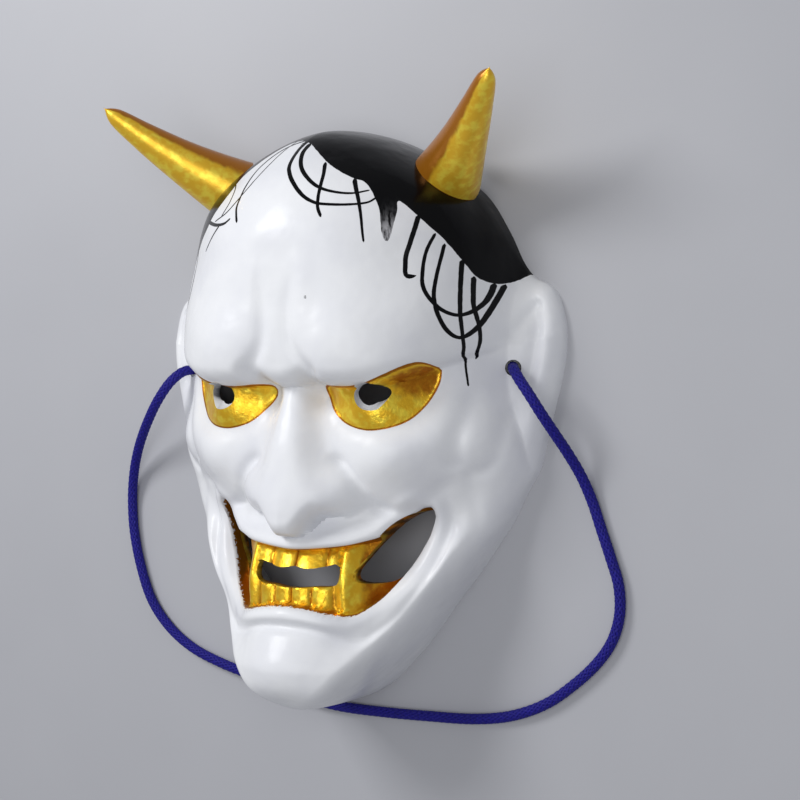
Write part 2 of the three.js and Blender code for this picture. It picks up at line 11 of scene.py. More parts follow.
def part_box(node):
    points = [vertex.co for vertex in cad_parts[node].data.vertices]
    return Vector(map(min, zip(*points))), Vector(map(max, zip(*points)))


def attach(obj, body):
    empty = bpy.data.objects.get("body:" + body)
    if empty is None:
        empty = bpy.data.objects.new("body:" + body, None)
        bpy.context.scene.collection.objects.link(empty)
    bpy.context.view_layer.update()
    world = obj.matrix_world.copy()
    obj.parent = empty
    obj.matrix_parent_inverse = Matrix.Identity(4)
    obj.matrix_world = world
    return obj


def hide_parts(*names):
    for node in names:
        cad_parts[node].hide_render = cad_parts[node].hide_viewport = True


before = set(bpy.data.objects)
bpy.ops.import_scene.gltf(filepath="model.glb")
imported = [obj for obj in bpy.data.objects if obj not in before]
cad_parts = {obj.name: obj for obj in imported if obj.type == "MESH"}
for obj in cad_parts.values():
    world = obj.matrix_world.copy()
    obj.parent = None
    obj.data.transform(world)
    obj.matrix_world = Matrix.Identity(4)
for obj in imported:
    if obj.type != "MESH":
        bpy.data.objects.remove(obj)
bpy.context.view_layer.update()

MM = 0.001

# Sizes of the moulding, in millimetres
FACE_HEIGHT = 213.5
FACE_WIDTH = 168.0
FACE_DEPTH = 66.0
WALL = 3.0
RIM_BAND = 3.4
CHIN_BAND = 4.4
HORN_FOOT_RADIUS = 12.6
HORN_TIP_RADIUS = 1.4
HORN_RISE = 28.8
HORN_SPREAD = 34.4
HORN_REACH = 38.7
HORN_BEND = (1.5, -2, 1)
PUPIL_WIDTH = 12.4
PUPIL_HEIGHT = 9.6
PUPIL_INNER_HEIGHT = 6.7
PUPIL_LIP = 47.5
CUT_FOOT = 1.0
CUT_TOP = FACE_DEPTH * 1.5
EYE_DEPTH = 1.6
MOUTH_DEPTH = 6.8

# Sizes of the cord, in millimetres
CORD_DIAMETER = 4.0
CORD_PLAY = 0.9
KNOT_RADIUS = 3.6
KNOT_GAP = 0.5
KNOT_TURN_RADIUS = 1.7
KNOT_CORD_RADIUS = CORD_DIAMETER * 0.46

# The sizes of the braid, whose flat strands are wound both ways round a core
BRAID_SIZES = {
    "Core Radius": 1.66 * MM,
    "Strand Radius": 0.26 * MM,
    "Strand Width": 0.62 * MM,
    "Weave Depth": 0.08 * MM,
    "Pitch": 20.0 * MM,
    "Point Spacing": 0.64 * MM,
    "Strands Each Way": 8,
}

# Fineness of the meshes, and how far along the horn its last ring stands
FACE_ROWS = 270
FACE_COLUMNS = 246
HOLLOW_ROWS = 110
HOLLOW_COLUMNS = 84
HORN_RINGS = 40
HORN_SIDES = 40
HORN_LAST_RING = 0.985
KNOT_RINGS = 28
KNOT_SIDES = 10
PUPIL_SIDES = 40
HOLE_SIDES = 32

# The face is drawn 168 steps across the ears, 213.5 from chin to crown and 66 deep
STEP = np.array([FACE_WIDTH, FACE_HEIGHT, FACE_DEPTH]) / [168, 213.5, 66]

# In steps: the middle of a body's floor, the chin's edge, and how far rows of points rise at the sides
CENTRE_Y = -12.0
CHIN_Y = -112.5
ROW_RISE = 24.0

# How far the drawing's own middle lies up from the frame's, on the floor under the middle of the mask
SHIFT = np.array([0.0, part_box("mask")[0].y / MM - CHIN_Y * STEP[1], 0.0])

# The photograph: 800 pixels square, the turn and lean of the camera, its focal length in pixels,
# and millimetres to a pixel at the height where it is aimed
PHOTO_SIDE = 800
CAMERA_TURN = math.radians(28.0)
CAMERA_LEAN = math.radians(-0.327)
FOCAL_PIXELS = 1530.45
MM_PER_PIXEL = 0.355
AIM_HEIGHT = 45.0
AIM_ASIDE = -36.13
SENSOR = 36.0


def camera_axes():
    """The camera's right, up and back directions, as rows"""
    turn_cos, turn_sin = math.cos(CAMERA_TURN), math.sin(CAMERA_TURN)
    lean_cos, lean_sin = math.cos(CAMERA_LEAN), math.sin(CAMERA_LEAN)
    turn = np.array([[turn_cos, 0, -turn_sin], [0, 1, 0], [turn_sin, 0, turn_cos]])
    lean = np.array([[lean_cos, -lean_sin, 0], [lean_sin, lean_cos, 0], [0, 0, 1]])
    return lean @ turn


CAMERA_AXES = camera_axes()
CAMERA_AWAY = FOCAL_PIXELS * MM_PER_PIXEL
EYE_POINT = CAMERA_AXES.T @ [-AIM_ASIDE, 0, CAMERA_AWAY] + [0, 0, AIM_HEIGHT]


def add_object(name, data):
    made = bpy.data.objects.new(name, data)
    bpy.context.scene.collection.objects.link(made)
    return made


def make_camera():
    camera = add_object("camera", bpy.data.cameras.new("camera"))
    camera.data.sensor_width = SENSOR
    camera.data.lens = SENSOR * FOCAL_PIXELS / PHOTO_SIDE
    place = (EYE_POINT + SHIFT) * MM
    camera.matrix_world = Matrix([[*CAMERA_AXES.T[i], place[i]] for i in range(3)] + [[0, 0, 0, 1]])
    bpy.context.scene.camera = camera


make_camera()


def smooth_line(points, per_span, closed=False):
    """Points along a smooth line through the drawn ones"""
    drawn = np.array(points, float)
    if closed:
        padded = np.vstack([drawn[-1], drawn, drawn[0], drawn[1]])
    else:
        padded = np.vstack([2 * drawn[0] - drawn[1], drawn, 2 * drawn[-1] - drawn[-2]])
    spans = len(padded) - 3
    t = np.arange(per_span)[:, None] / per_span
    line = []
    for a, b, c, d in zip(padded[:-3], padded[1:-2], padded[2:-1], padded[3:]):
        line.append(b + 0.5 * t * (c - a + t * (2 * a - 5 * b + 4 * c - d + t * (3 * (b - c) + d - a))))
    line = np.vstack(line)
    return line[:spans * per_span] if closed else np.vstack([line, drawn[-1]])


# The cord's way from the right ear over the floor, round below the chin and up to the left ear.
# Each point is [x, y, height over the floor] in steps; the cord rests on the floor where the height is 0.
CORD_WAY = [
    [71.2, 10.6, 14.8], [74.4, 7.4, 17.6], [78.4, 2.4, 18.6], [82.2, -4.2, 16.8], [85.4, -11, 12.6],
    [88.6, -18.4, 7.4], [91.8, -26.4, 2.9], [95, -35.5, 0.4], [98.2, -45, 0], [101.6, -54.5, 0],
    [104.6, -64, 0], [105, -74, 0], [102.3, -83.5, 0], [96.8, -91.6, 0], [88.6, -99.6, 0],
    [77.5, -107.8, 0], [64, -113.4, 0], [49, -116, 0], [31, -116.8, 0], [12, -117.2, 0], [-8, -116.8, 0],
    [-28, -113.8, 0], [-46, -109, 0], [-62, -105, 0], [-76, -100, 0], [-87.5, -92.5, 0],
    [-96.4, -82.2, 0], [-102, -69, 0], [-105.6, -54.5, 0], [-106.4, -41, 0.3], [-103.8, -29.6, 2.6],
    [-99, -21, 6.4], [-93.2, -13.8, 10.6], [-86.6, -7, 15], [-80.4, -0.4, 18], [-74.8, 6.4, 18],
    [-71.2, 10.6, 14.8],
]
EAR_HOLE = np.array([69, 11.7, 13.0])
HOLE_WAY = np.array([0.42, -0.12, 0.9]) / np.linalg.norm([0.42, -0.12, 0.9])
MIRROR = np.array([-1, 1, 1])
CORD_SPAN_POINTS = 8


def cord_path():
    """The cord's middle line from the knot behind the right ear to the one behind the left, in metres"""
    mouth = EAR_HOLE * STEP
    knot = mouth - HOLE_WAY * (WALL / HOLE_WAY[2] + KNOT_RADIUS + KNOT_GAP)
    in_hole = np.array([knot, (knot + mouth) / 2, mouth])
    free = np.array(CORD_WAY) * STEP + [0, 0, CORD_DIAMETER / 2]
    way = np.vstack([in_hole, free, in_hole[::-1] * MIRROR])
    return (smooth_line(way, CORD_SPAN_POINTS) + SHIFT) * MM


class Tree:
    """A tree of nodes that adds a node from its type, settings and sockets"""

    def __init__(self, tree):
        self.tree = tree

    def node(self, kind, settings=None, inputs=None):
        made = self.tree.nodes.new(kind)
        for name, value in (settings or {}).items():
            setattr(made, name, value)
        for name, value in (inputs or {}).items():
            self.set(made.inputs[name], value)
        return made

    def set(self, socket, value):
        if isinstance(value, Value):
            self.tree.links.new(value.socket, socket)
        elif isinstance(value, bpy.types.NodeSocket):
            self.tree.links.new(value, socket)
        else:
            socket.default_value = value

    def value(self, kind, settings=None, inputs=None, output=0):
        return Value(self, self.node(kind, settings, inputs).outputs[output])

    def geometry(self, kind, inputs):
        """What a geometry node without settings makes of its inputs"""
        return self.value("GeometryNode" + kind, None, inputs)

    def vector(self, operation, *values):
        return self.value("ShaderNodeVectorMath", {"operation": operation}, dict(enumerate(values)))

    def scaled(self, vector, factor):
        return self.value("ShaderNodeVectorMath", {"operation": "SCALE"}, {0: vector, "Scale": factor})


class Value:
    """One value of a tree, which sums and products join into new ones"""

    def __init__(self, tree, socket):
        self.tree, self.socket = tree, socket

    def maths(self, operation, *others):
        values = dict(enumerate((self, *others)))
        return self.tree.value("ShaderNodeMath", {"operation": operation}, values)

    def __add__(self, other):
        return self.maths("ADD", other)

    def __sub__(self, other):
        return self.maths("SUBTRACT", other)

    def __rsub__(self, other):
        return self * -1 + other

    def __mul__(self, other):
        return self.maths("MULTIPLY", other)

    def __truediv__(self, other):
        return self.maths("DIVIDE", other)

    __radd__, __rmul__ = __add__, __mul__


def cord_braid_tree(material):
    """Two sets of flat strands wound both ways round a core, each going over and under the other set"""
    group = bpy.data.node_groups.new("cord braid", "GeometryNodeTree")
    group.interface.new_socket("Line", in_out="INPUT", socket_type="NodeSocketGeometry")
    for name in BRAID_SIZES:
        kind = "NodeSocketInt" if name == "Strands Each Way" else "NodeSocketFloat"
        group.interface.new_socket(name, in_out="INPUT", socket_type=kind)
    group.interface.new_socket("Cord", in_out="OUTPUT", socket_type="NodeSocketGeometry")
    tree = Tree(group)
    given = tree.node("NodeGroupInput").outputs
    count = Value(tree, given["Strands Each Way"])
    core_radius = Value(tree, given["Core Radius"])
    line = tree.value("GeometryNodeResampleCurve", {"mode": "LENGTH"},
                      {"Curve": given["Line"], "Length": given["Point Spacing"]})
    ring = tree.geometry("CurvePrimitiveCircle", {"Resolution": 12, "Radius": core_radius})
    pieces = [tree.geometry("CurveToMesh", {"Curve": line, "Profile Curve": ring, "Fill Caps": True})]
    strand_size = tree.value("ShaderNodeCombineXYZ", None, {
        "X": given["Strand Radius"], "Y": given["Strand Width"]})
    flat_ring = tree.geometry("Transform", {
        "Geometry": tree.geometry("CurvePrimitiveCircle", {"Resolution": 4, "Radius": 1.0}),
        "Scale": strand_size})
    normal = tree.value("GeometryNodeInputNormal")
    tangent = tree.value("GeometryNodeInputTangent")
    across = tree.vector("CROSS_PRODUCT", tangent, normal)
    turns = tree.value("GeometryNodeSplineParameter", output=1) / Value(tree, given["Pitch"])
    weave = (turns * count * math.tau).maths("COSINE") * Value(tree, given["Weave Depth"])
    for way in (1, -1):
        copies = tree.node("GeometryNodeDuplicateElements", {"domain": "SPLINE"},
                           {"Geometry": line, "Amount": given["Strands Each Way"]})
        kept = tree.node("GeometryNodeCaptureAttribute", {"domain": "POINT"}, {"Geometry": copies.outputs[0]})
        kept.capture_items.new("FLOAT", "share")
        tree.set(kept.inputs["share"], Value(tree, copies.outputs[1]) / count)
        angle = (Value(tree, kept.outputs["share"]) + turns * way) * math.tau
        outward = tree.vector("ADD", tree.scaled(normal, angle.maths("COSINE")),
                              tree.scaled(across, angle.maths("SINE")))
        held = tree.node("GeometryNodeCaptureAttribute", {"domain": "POINT"}, {"Geometry": kept.outputs[0]})
        held.capture_items.new("VECTOR", "outward")
        tree.set(held.inputs["outward"], outward)
        outward = Value(tree, held.outputs["outward"])
        wound = tree.geometry("SetPosition", {
            "Geometry": held.outputs[0], "Offset": tree.scaled(outward, core_radius + weave * way)})
        facing = tree.value("GeometryNodeSetCurveNormal", {"mode": "FREE"},
                            {"Curve": wound, "Normal": outward})
        pieces.append(tree.geometry("CurveToMesh", {
            "Curve": facing, "Profile Curve": flat_ring, "Fill Caps": True}))
    joined = tree.node("GeometryNodeJoinGeometry")
    for piece in pieces:
        tree.set(joined.inputs[0], piece)
    smooth = tree.geometry("SetShadeSmooth", {"Geometry": joined.outputs[0]})
    real = tree.geometry("RealizeInstances", {"Geometry": smooth})
    painted = tree.geometry("SetMaterial", {"Geometry": real, "Material": material})
    tree.node("NodeGroupOutput", None, {"Cord": painted})
    return group


def line_object(name, points):
    data = bpy.data.curves.new(name, "CURVE")
    data.dimensions = "3D"
    spline = data.splines.new("POLY")
    spline.points.add(len(points) - 1)
    spline.points.foreach_set("co", np.hstack([points, np.ones((len(points), 1))]).ravel())
    return add_object(name, data)


def mesh_from(name, points, faces):
    """A mesh of points in metres, with its faces turned outwards"""
    mesh = bpy.data.meshes.new(name)
    mesh.from_pydata([tuple(p) for p in np.asarray(points, float).tolist()], [], faces)
    shape = bmesh.new()
    shape.from_mesh(mesh)
    bmesh.ops.recalc_face_normals(shape, faces=shape.faces)
    shape.to_mesh(mesh)
    shape.free()
    return mesh


def set_input(modifier, name, value):
    items = modifier.node_group.interface.items_tree
    modifier[next(item.identifier for item in items if item.name == name)] = value


def tube_faces(rings, sides, first=0, closed=False):
    """The faces between rings of points that follow one another, from the number of the first point"""
    faces = []
    for i in range(rings if closed else rings - 1):
        for k in range(sides):
            corners = [(i, k), (i, k + 1), (i + 1, k + 1), (i + 1, k)]
            faces.append(tuple(first + (a % rings) * sides + b % sides for a, b in corners))
    return faces


def knot_loops(place, way):
    """A small round knot: three turns of cord drawn tight over one another"""
    aside = np.cross(way, [0, 0, 1.0])
    axes = [way, aside, np.cross(way, aside)]
    points, faces = [], []
    for n, axis in enumerate(axes):
        axis = axis / np.linalg.norm(axis)
        first = np.cross(axis, axes[(n + 1) % 3])
        first = first / np.linalg.norm(first)
        second = np.cross(axis, first)
        faces += tube_faces(KNOT_RINGS, KNOT_SIDES, len(points), True)
        for i in range(KNOT_RINGS):
            t = math.tau * i / KNOT_RINGS
            out = first * math.cos(t) + second * math.sin(t)
            for k in range(KNOT_SIDES):
                a = math.tau * k / KNOT_SIDES
                reach = KNOT_TURN_RADIUS + KNOT_CORD_RADIUS * math.cos(a)
                points.append(place + (out * reach + axis * KNOT_CORD_RADIUS * math.sin(a)) * MM)
    return points, faces


def make_cord(material):
    path = cord_path()
    line = line_object("cord_line", path)
    modifier = line.modifiers.new("braid", "NODES")
    modifier.node_group = cord_braid_tree(material)
    for name, value in BRAID_SIZES.items():
        set_input(modifier, name, value)
    evaluated = line.evaluated_get(bpy.context.evaluated_depsgraph_get())
    mesh = bpy.data.meshes.new_from_object(evaluated)
    bpy.data.objects.remove(line)
    cord = add_object("braided_cord", mesh)
    shape = bmesh.new()
    shape.from_mesh(mesh)
    for end, next_place in ((path[0], path[1]), (path[-1], path[-2])):
        points, faces = knot_loops(end, next_place - end)
        made = [shape.verts.new(p) for p in points]
        for face in faces:
            shape.faces.new([made[k] for k in face]).smooth = True
    bmesh.ops.recalc_face_normals(shape, faces=shape.faces)
    shape.to_mesh(mesh)
    shape.free()
    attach(cord, "root")
    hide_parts("elastic_cord")
    tuple(path[0])
    [tuple(p) for p in path]
    return cord


# Half of the rim, from the crown to the chin by the ear
RIM_HALF = [
    [0, 101], [14, 98.5], [28, 92.5], [41, 84], [53.5, 74], [62, 61], [67.5, 50], [72, 44.5], [77.5, 41.8],
    [81.5, 37], [84, 27], [84, 17], [82.5, 8], [80, -2], [77, -14], [74.5, -24], [70, -32], [64.5, -43],
    [58.5, -52], [50, -64], [42.5, -73.5], [33.5, -86], [25, -96], [13.5, -107], [0, -112.5],
]

# Up the face: the place, the height on the middle line, the half width of the head, and the roundness and
# the fall of its section
SECTIONS = np.array([
    [-113, 40.3, 33, 2.92, 0.57],
    [-104, 52.9, 39.6, 2.79, 0.49],
    [-95, 55.2, 45.6, 2.52, 0.43],
    [-85, 53.3, 52.8, 2.05, 0.42],
    [-75, 53.4, 60.3, 1.58, 0.44],
    [-65, 53.6, 67.8, 1.38, 0.47],
    [-55, 50, 72.8, 1.32, 0.52],
    [-42, 45.6, 75.3, 1.2, 0.6],
    [-30, 44.8, 73.3, 1.46, 0.59],
    [-14, 46.1, 71.5, 2.26, 0.45],
    [0, 47, 67.6, 2.56, 0.51],
    [16, 51, 66.7, 2.56, 0.61],
    [32, 56.3, 67.2, 2.45, 0.67],
    [48, 60.4, 68, 2.22, 0.72],
    [62, 60, 68.3, 1.97, 0.73],
    [76, 54.4, 66.3, 1.71, 0.72],
    [88, 45.1, 62.2, 1.37, 0.73],
    [101, 29.4, 56.6, 1.2, 0.72],
])
LEVEL, HALF_WIDTH, ROUNDNESS, FALL = (SECTIONS[:, [0, k]] for k in range(1, 5))
EAR_LEVEL = [
    [-112, 0], [-45, 0], [-34, 4.5], [-20, 8.5], [0, 10], [20, 10], [36, 7.5], [44, 4.5], [52, 0], [102, 0],
]
# How far from the rim the outer skin has turned over
EDGE_TURN = [[-113, 5], [-100, 6], [-80, 8], [-60, 10], [-40, 12], [102, 12]]
# Up the nose: how far it stands out and half its width
NOSE_RIDGE = [[-49, 11.5], [-38, 13.5], [-30, 12.5], [-20, 10.5], [-10, 7.5], [0, 4], [6, 1.5], [12, 0]]
NOSE_HALF_WIDTH = [[-48, 13.5], [-38, 15], [-28, 13.6], [-18, 10.6], [-8, 8.4], [4, 7], [12, 7]]
# Out from the middle: how far the brows stand out
BROW_CREST = [[0, 9.6], [8, 10], [18, 12], [30, 12.5], [42, 11.5], [52, 9], [60, 5], [68, 0], [90, 0]]

# Outlines drawn on the right half of the face
EYE = [
    [10.3, 4.5], [13, 5.6], [19, 5], [25.5, 5], [31.8, 6.2], [38, 8.8], [43.5, 11.6], [48, 13.2],
    [50.8, 11.5], [50.3, 6.5], [48.4, 1.5], [45.5, -3.2], [41.5, -7.2], [35.5, -9.7], [28, -10.4],
    [20, -8.2], [14.4, -3.8], [11, 1],
]
PUPIL = [31, 1.3]
MOUTH_HALF = [
    [0, -52.6], [9, -52.1], [18, -51], [24, -49.6], [30, -47.4], [35, -43.2], [38.8, -39.8], [41.7, -37.8],
    [44.2, -37.8], [44.8, -40.6], [43.1, -45.7], [41.1, -50.6], [39, -55.2], [36.4, -59.8], [33.5, -64.4],
    [30.2, -69], [26.4, -72.7], [22.8, -75.1], [18.8, -75], [9, -73], [0, -72.2],
]
MIDDLE_GAP_HALF = [
    [0, -58.8], [6, -59.4], [11.2, -58.6], [16.5, -57.8], [16.2, -64.6], [8, -65.6], [0, -66.2],
]
SIDE_GAP = [
    [33.4, -43.2], [36.8, -40.6], [40, -39.2], [43, -39], [43.6, -41.6], [41.9, -46.8], [39.8, -52.2],
    [37, -57.4], [33.9, -61.6], [30.6, -64], [27, -64.6], [23.4, -64.2], [21.6, -62.6], [21.8, -59.4],
    [24.2, -55.2], [27, -50.8], [30.2, -46.6],
]
LOWER_CREASE = [
    [0, -79], [8, -79.4], [14, -80.6], [20.6, -82.7], [25.7, -83.4], [29.6, -81], [33.8, -77.2],
    [38.3, -71.2], [43.6, -62.9], [47.6, -54], [49.4, -43], [49.3, -34.8],
]
CHEEK_FOLD = [
    [12.5, -19.6], [17, -21.2], [20.9, -24.8], [23.6, -29], [25.4, -33.2], [28.6, -37.5], [35, -39.2],
    [42, -36.6], [48.3, -31.2], [55, -26],
]
BROW_LINE = [
    [0, 4.9], [6, 5.2], [9, 6.4], [11.5, 6], [16, 4.6], [22, 4.2], [30, 4.4], [36, 5.3], [42, 7.2], [48, 10],
    [54, 13], [60, 16], [68, 20], [85, 24],
]
FROWN = [[9, 50], [7, 42], [5.4, 34], [5, 27], [5.6, 21], [8.4, 15], [12.8, 10.4], [16.5, 6.8]]
JAW_FOLD = [[55.5, -25], [57.2, -34], [58.3, -42], [56.6, -51], [50.5, -62.5], [43, -72.5]]
EAR_RIM = [[73, 41], [78.5, 36.5], [80.2, 26], [79.5, 14], [77, 0], [73.5, -15], [71, -26]]
EAR_SLANT = [[76.7, 36.5], [71.5, 29.5], [66, 21]]
EAR_HOLLOW = [[74.5, 33], [75.6, 24], [74.5, 13], [72, 4]]
EAR_FRONT = [[59.5, 6], [57.5, -6], [55, -17], [54.4, -25]]
LOBE_EDGE = [[68.5, 2], [67.5, -9], [65.2, -20], [60.2, -24.8], [55, -25]]
HORN_FOOT = np.array([44.8, 79.8, 17.5])


def profile(knots, place):
    """A smooth line through knots [place, value]"""
    knot, value = np.array(knots, float).T
    t = np.clip(place, knot[0], knot[-1])
    slope = np.gradient(value, knot)
    i = np.clip(np.searchsorted(knot, t) - 1, 0, len(knot) - 2)
    width = knot[i + 1] - knot[i]
    s = (t - knot[i]) / width
    ends = value[i] * (1 + 2 * s) * (1 - s) ** 2 + value[i + 1] * s * s * (3 - 2 * s)
    return ends + width * s * (1 - s) * (slope[i] * (1 - s) - slope[i + 1] * s)


def smooth_step(t, low, high):
    s = np.clip((t - low) / (high - low), 0, 1)
    return s * s * (3 - 2 * s)


def roll(t):
    """Rises from 0 to 1 like a quarter of a circle, as a rolled edge does"""
    return np.sqrt(1 - (1 - np.clip(t, 0, 1)) ** 2)


def mirrored(half):
    """The whole outline from its right half, which runs from the top of the middle line to its bottom"""
    half = np.array(half, float)
    return np.vstack([half, half[-2:0:-1] * [-1, 1]])


def bump(x, y, centre, reach, turn=0.0):
    """Two like swellings on the face, or one on the middle line"""
    c, s = math.cos(turn), math.sin(turn)

    def one(across):
        dx, dy = across - centre[0], y - centre[1]
        return np.exp(-((c * dx + s * dy) / reach[0]) ** 2 - ((c * dy - s * dx) / reach[1]) ** 2)

    return one(x) + one(-x) if centre[0] else one(x)


def nearest(x, y, line, closed=False):
    """Distance from each place to a line, how far along it from 0 to 1, and its side: above 0 on the left"""
    line = np.asarray(line, float)
    ends = np.roll(line, -1, 0) if closed else line[1:]
    spans = len(ends)
    best = np.full(np.shape(x), np.inf)
    along, side = np.zeros(np.shape(x)), np.zeros(np.shape(x))
    for i, (a, b) in enumerate(zip(line, ends)):
        e = b - a
        t = np.clip(((x - a[0]) * e[0] + (y - a[1]) * e[1]) / (e @ e), 0, 1)
        dx, dy = x - a[0] - t * e[0], y - a[1] - t * e[1]
        d = dx * dx + dy * dy
        near = d < best
        best = np.where(near, d, best)
        along = np.where(near, (i + t) / spans, along)
        side = np.where(near, e[0] * dy - e[1] * dx, side)
    return np.sqrt(best), along, side


def outside(x, y, loop):
    """Distance to a closed outline, negative inside it"""
    inside = np.zeros(np.shape(x), bool)
    for a, b in zip(loop, np.roll(loop, -1, 0)):
        if a[1] != b[1]:
            inside ^= ((a[1] > y) != (b[1] > y)) & (x < a[0] + (y - a[1]) * (b[0] - a[0]) / (b[1] - a[1]))
    distance = nearest(x, y, loop, True)[0]
    return np.where(inside, -distance, distance)


def groove(x, y, line, width, start_depth, end_depth=None, fade=0.15):
    """A groove along a line on both halves of the face, fading at its ends; a negative depth is a ridge"""
    d, t, _ = nearest(np.abs(x), y, smooth_line(line, 5))
    end_depth = start_depth if end_depth is None else end_depth
    ends = smooth_step(t, 0, fade) * smooth_step(1 - t, 0, fade) if fade else 1
    return -(start_depth + (end_depth - start_depth) * t) * ends * np.exp(-(d / width) ** 2)


MOUTH_LOOP = smooth_line(mirrored(MOUTH_HALF), 6, True)
EYE_LOOP = smooth_line(EYE, 6, True)
MIDDLE_GAP_LOOP = smooth_line(mirrored(MIDDLE_GAP_HALF), 5, True)
SIDE_GAP_LOOP = smooth_line(SIDE_GAP, 5, True)
RIM_LINE = smooth_line([[-14, 98.5], *RIM_HALF, [-13.5, -107]], 12)[12:-12]
RIM_LOOP = mirrored(RIM_LINE)


# The carving is in steps. A swelling has its height, the place of its middle, and its reach across and up.
def head_form(x, y):
    """The head's round form with the flat ears beside it"""
    a = np.abs(x)
    level = profile(LEVEL, y)
    out = np.clip(a / profile(HALF_WIDTH, y), 0, 1)
    head = level * (1 - out ** profile(ROUNDNESS, y)) ** profile(FALL, y)
    ear = profile(EAR_LEVEL, y) * (1.37 - 0.75 * smooth_step(a, 62, 84))
    blend = 5.0
    return blend * (np.logaddexp(head / blend, ear / blend) - np.log1p(np.exp(-level / blend)))


def brows(x, y):
    """Heavy brows rolled over hollow sockets"""
    a = np.abs(x)
    above = y - profile(BROW_LINE, a)
    brow = profile(BROW_CREST, a) * roll(above / 7) * (1 - smooth_step(above, 6, 48))
    swell = 2 * bump(x, y, (25, 20), (15, 11), 0.25) + 1.5 * bump(x, y, (26, 48), (18, 16))
    lid = np.maximum(outside(a, y, EYE_LOOP), 0)
    socket = 2 * np.exp(-((lid / 5) ** 2)) * smooth_step(-above, -3, 6)
    return brow + swell + groove(x, y, FROWN, 2.6, 0, 2.4) - socket - 4 * bump(x, y, (9.5, 2), (5, 7))


def nose_and_cheeks(x, y):
    """A broad hooked nose between round cheeks"""
    a = np.abs(x)
    edge = -48.4 + 7.6 * smooth_step(a, 2.5, 12) + 3.6 * smooth_step(a, 18, 26)
    ridge = profile(NOSE_RIDGE, y) * np.exp(-(a / profile(NOSE_HALF_WIDTH, y)) ** 3)
    nose = ridge + 6.5 * bump(x, y, (17.5, -33), (8.5, 9.5))
    cheek = 7.5 * bump(x, y, (37, -24), (15, 13)) + 1.5 * bump(x, y, (54, 0), (10, 14))
    lower_lid = 3 * bump(x, y, (29, -7), (13, 9))
    return nose * roll((y - edge) / 6) + cheek + lower_lid + groove(x, y, CHEEK_FOLD, 2.5, 2.6, 2.4)


def lips_and_chin(x, y):
    """Full lips round the open mouth, the creases under them and a round chin"""
    m = outside(x, y, MOUTH_LOOP)
    lips = 2.4 * np.exp(-((np.maximum(m, 0) - 2.6) / 3) ** 2)
    creases = groove(x, y, LOWER_CREASE, 1.8, 2.2, 1, 0) * smooth_step(m, 0, 3)
    creases += groove(x, y, JAW_FOLD, 2.6, 0.9)
    chin = 6.5 * bump(x, y, (0, -92), (19, 13.5))
    beside_mouth = 11.5 * bump(x, y, (36.5, -59.5), (8, 24), -0.52)
    return lips + creases + chin - beside_mouth


def ears(x, y):
    """The ear's rolled rim, the slanting groove at its top, its hollow and its lobe"""
    cuts = [(EAR_RIM, 3, -2, -1), (EAR_SLANT, 1.8, 2, 1.2), (EAR_HOLLOW, 2, 1.2),
            (EAR_FRONT, 3, 1.6, 2.4), (LOBE_EDGE, 2.2, 1.4, 2)]
    return sum(groove(x, y, *cut) for cut in cuts)


def teeth(x, y):
    """Two rows of teeth and the long fangs, which meet in two posts"""
    a = np.abs(x)
    post = 3.4 * np.exp(-((a - 19.4 + 0.06 * (y + 62)) / 3) ** 2)
    upper = np.where(a < 16.5, 2 * smooth_step(y, -62, -60) * np.abs(np.sin(np.pi * a / 11.2)) ** 0.5, 0)
    lower = np.where(a < 15, 2 * smooth_step(-y, 64, 66) * np.abs(np.sin(np.pi * a / 7.5)) ** 0.5, 0)
    return post + upper + lower


def skin_height(x, y):
    """Height of the outer skin over the rim's plane before the mouth and the eyes are sunk, in steps"""
    carved = head_form(x, y) + brows(x, y) + nose_and_cheeks(x, y) + lips_and_chin(x, y) + ears(x, y)
    edge = 1 - np.minimum(nearest(np.abs(x), y, RIM_LINE)[0] / profile(EDGE_TURN, y), 1)
    return np.where(outside(x, y, RIM_LOOP) < 0, np.maximum(carved, 0) * np.sqrt(1 - edge ** 4), 0)


def face_height(x, y):
    """Height of the whole outer face, in steps"""
    m = outside(x, y, MOUTH_LOOP)
    e = outside(np.abs(x), y, EYE_LOOP)
    in_mouth, in_eye = smooth_step(-m, -0.3, 1.0), smooth_step(-e, -0.3, 1.2)
    mouth = smooth_step(-m, 0, 1.5) * teeth(x, y) - in_mouth * MOUTH_DEPTH
    eye = in_eye * (6.4 * bump(x, y, (31, 0), (12, 9.5)) - EYE_DEPTH)
    return skin_height(x, y) + mouth + eye


# The hollow's heights are worked out on a raster with a margin round the face, in millimetres
RASTER = 1.0
MARGIN = 6.0


class Hollow:
    """The inside of the moulding: a ball as thick as the wall rolls under the outer face"""

    def __init__(self):
        self.low = np.array([-FACE_WIDTH / 2 - MARGIN, CHIN_Y - MARGIN])
        counts = [int((side + 2 * MARGIN) / RASTER) + 1 for side in (FACE_WIDTH, FACE_HEIGHT)]
        x, y = np.meshgrid(*(low + RASTER * np.arange(count) for low, count in zip(self.low, counts)))
        outer = face_height(x, y) * STEP[2]
        reach = int(WALL / RASTER)
        lowest = outer - WALL
        for i in range(-reach, reach + 1):
            for j in range(-reach, reach + 1):
                across = math.hypot(i, j) * RASTER
                if across <= WALL:
                    moved = np.roll(outer, (i, j), (0, 1))
                    lowest = np.minimum(lowest, moved - math.sqrt(WALL * WALL - across * across))
        self.height = lowest

    def __call__(self, x, y):
        column, row = (x - self.low[0]) / RASTER, (y - self.low[1]) / RASTER
        j = np.clip(column.astype(int), 0, self.height.shape[1] - 2)
        i = np.clip(row.astype(int), 0, self.height.shape[0] - 2)
        s, t = column - j, row - i
        h = self.height
        lower = h[i, j] * (1 - s) + h[i, j + 1] * s
        upper = h[i + 1, j] * (1 - s) + h[i + 1, j + 1] * s
        return np.maximum(lower * (1 - t) + upper * t, WALL / 3)


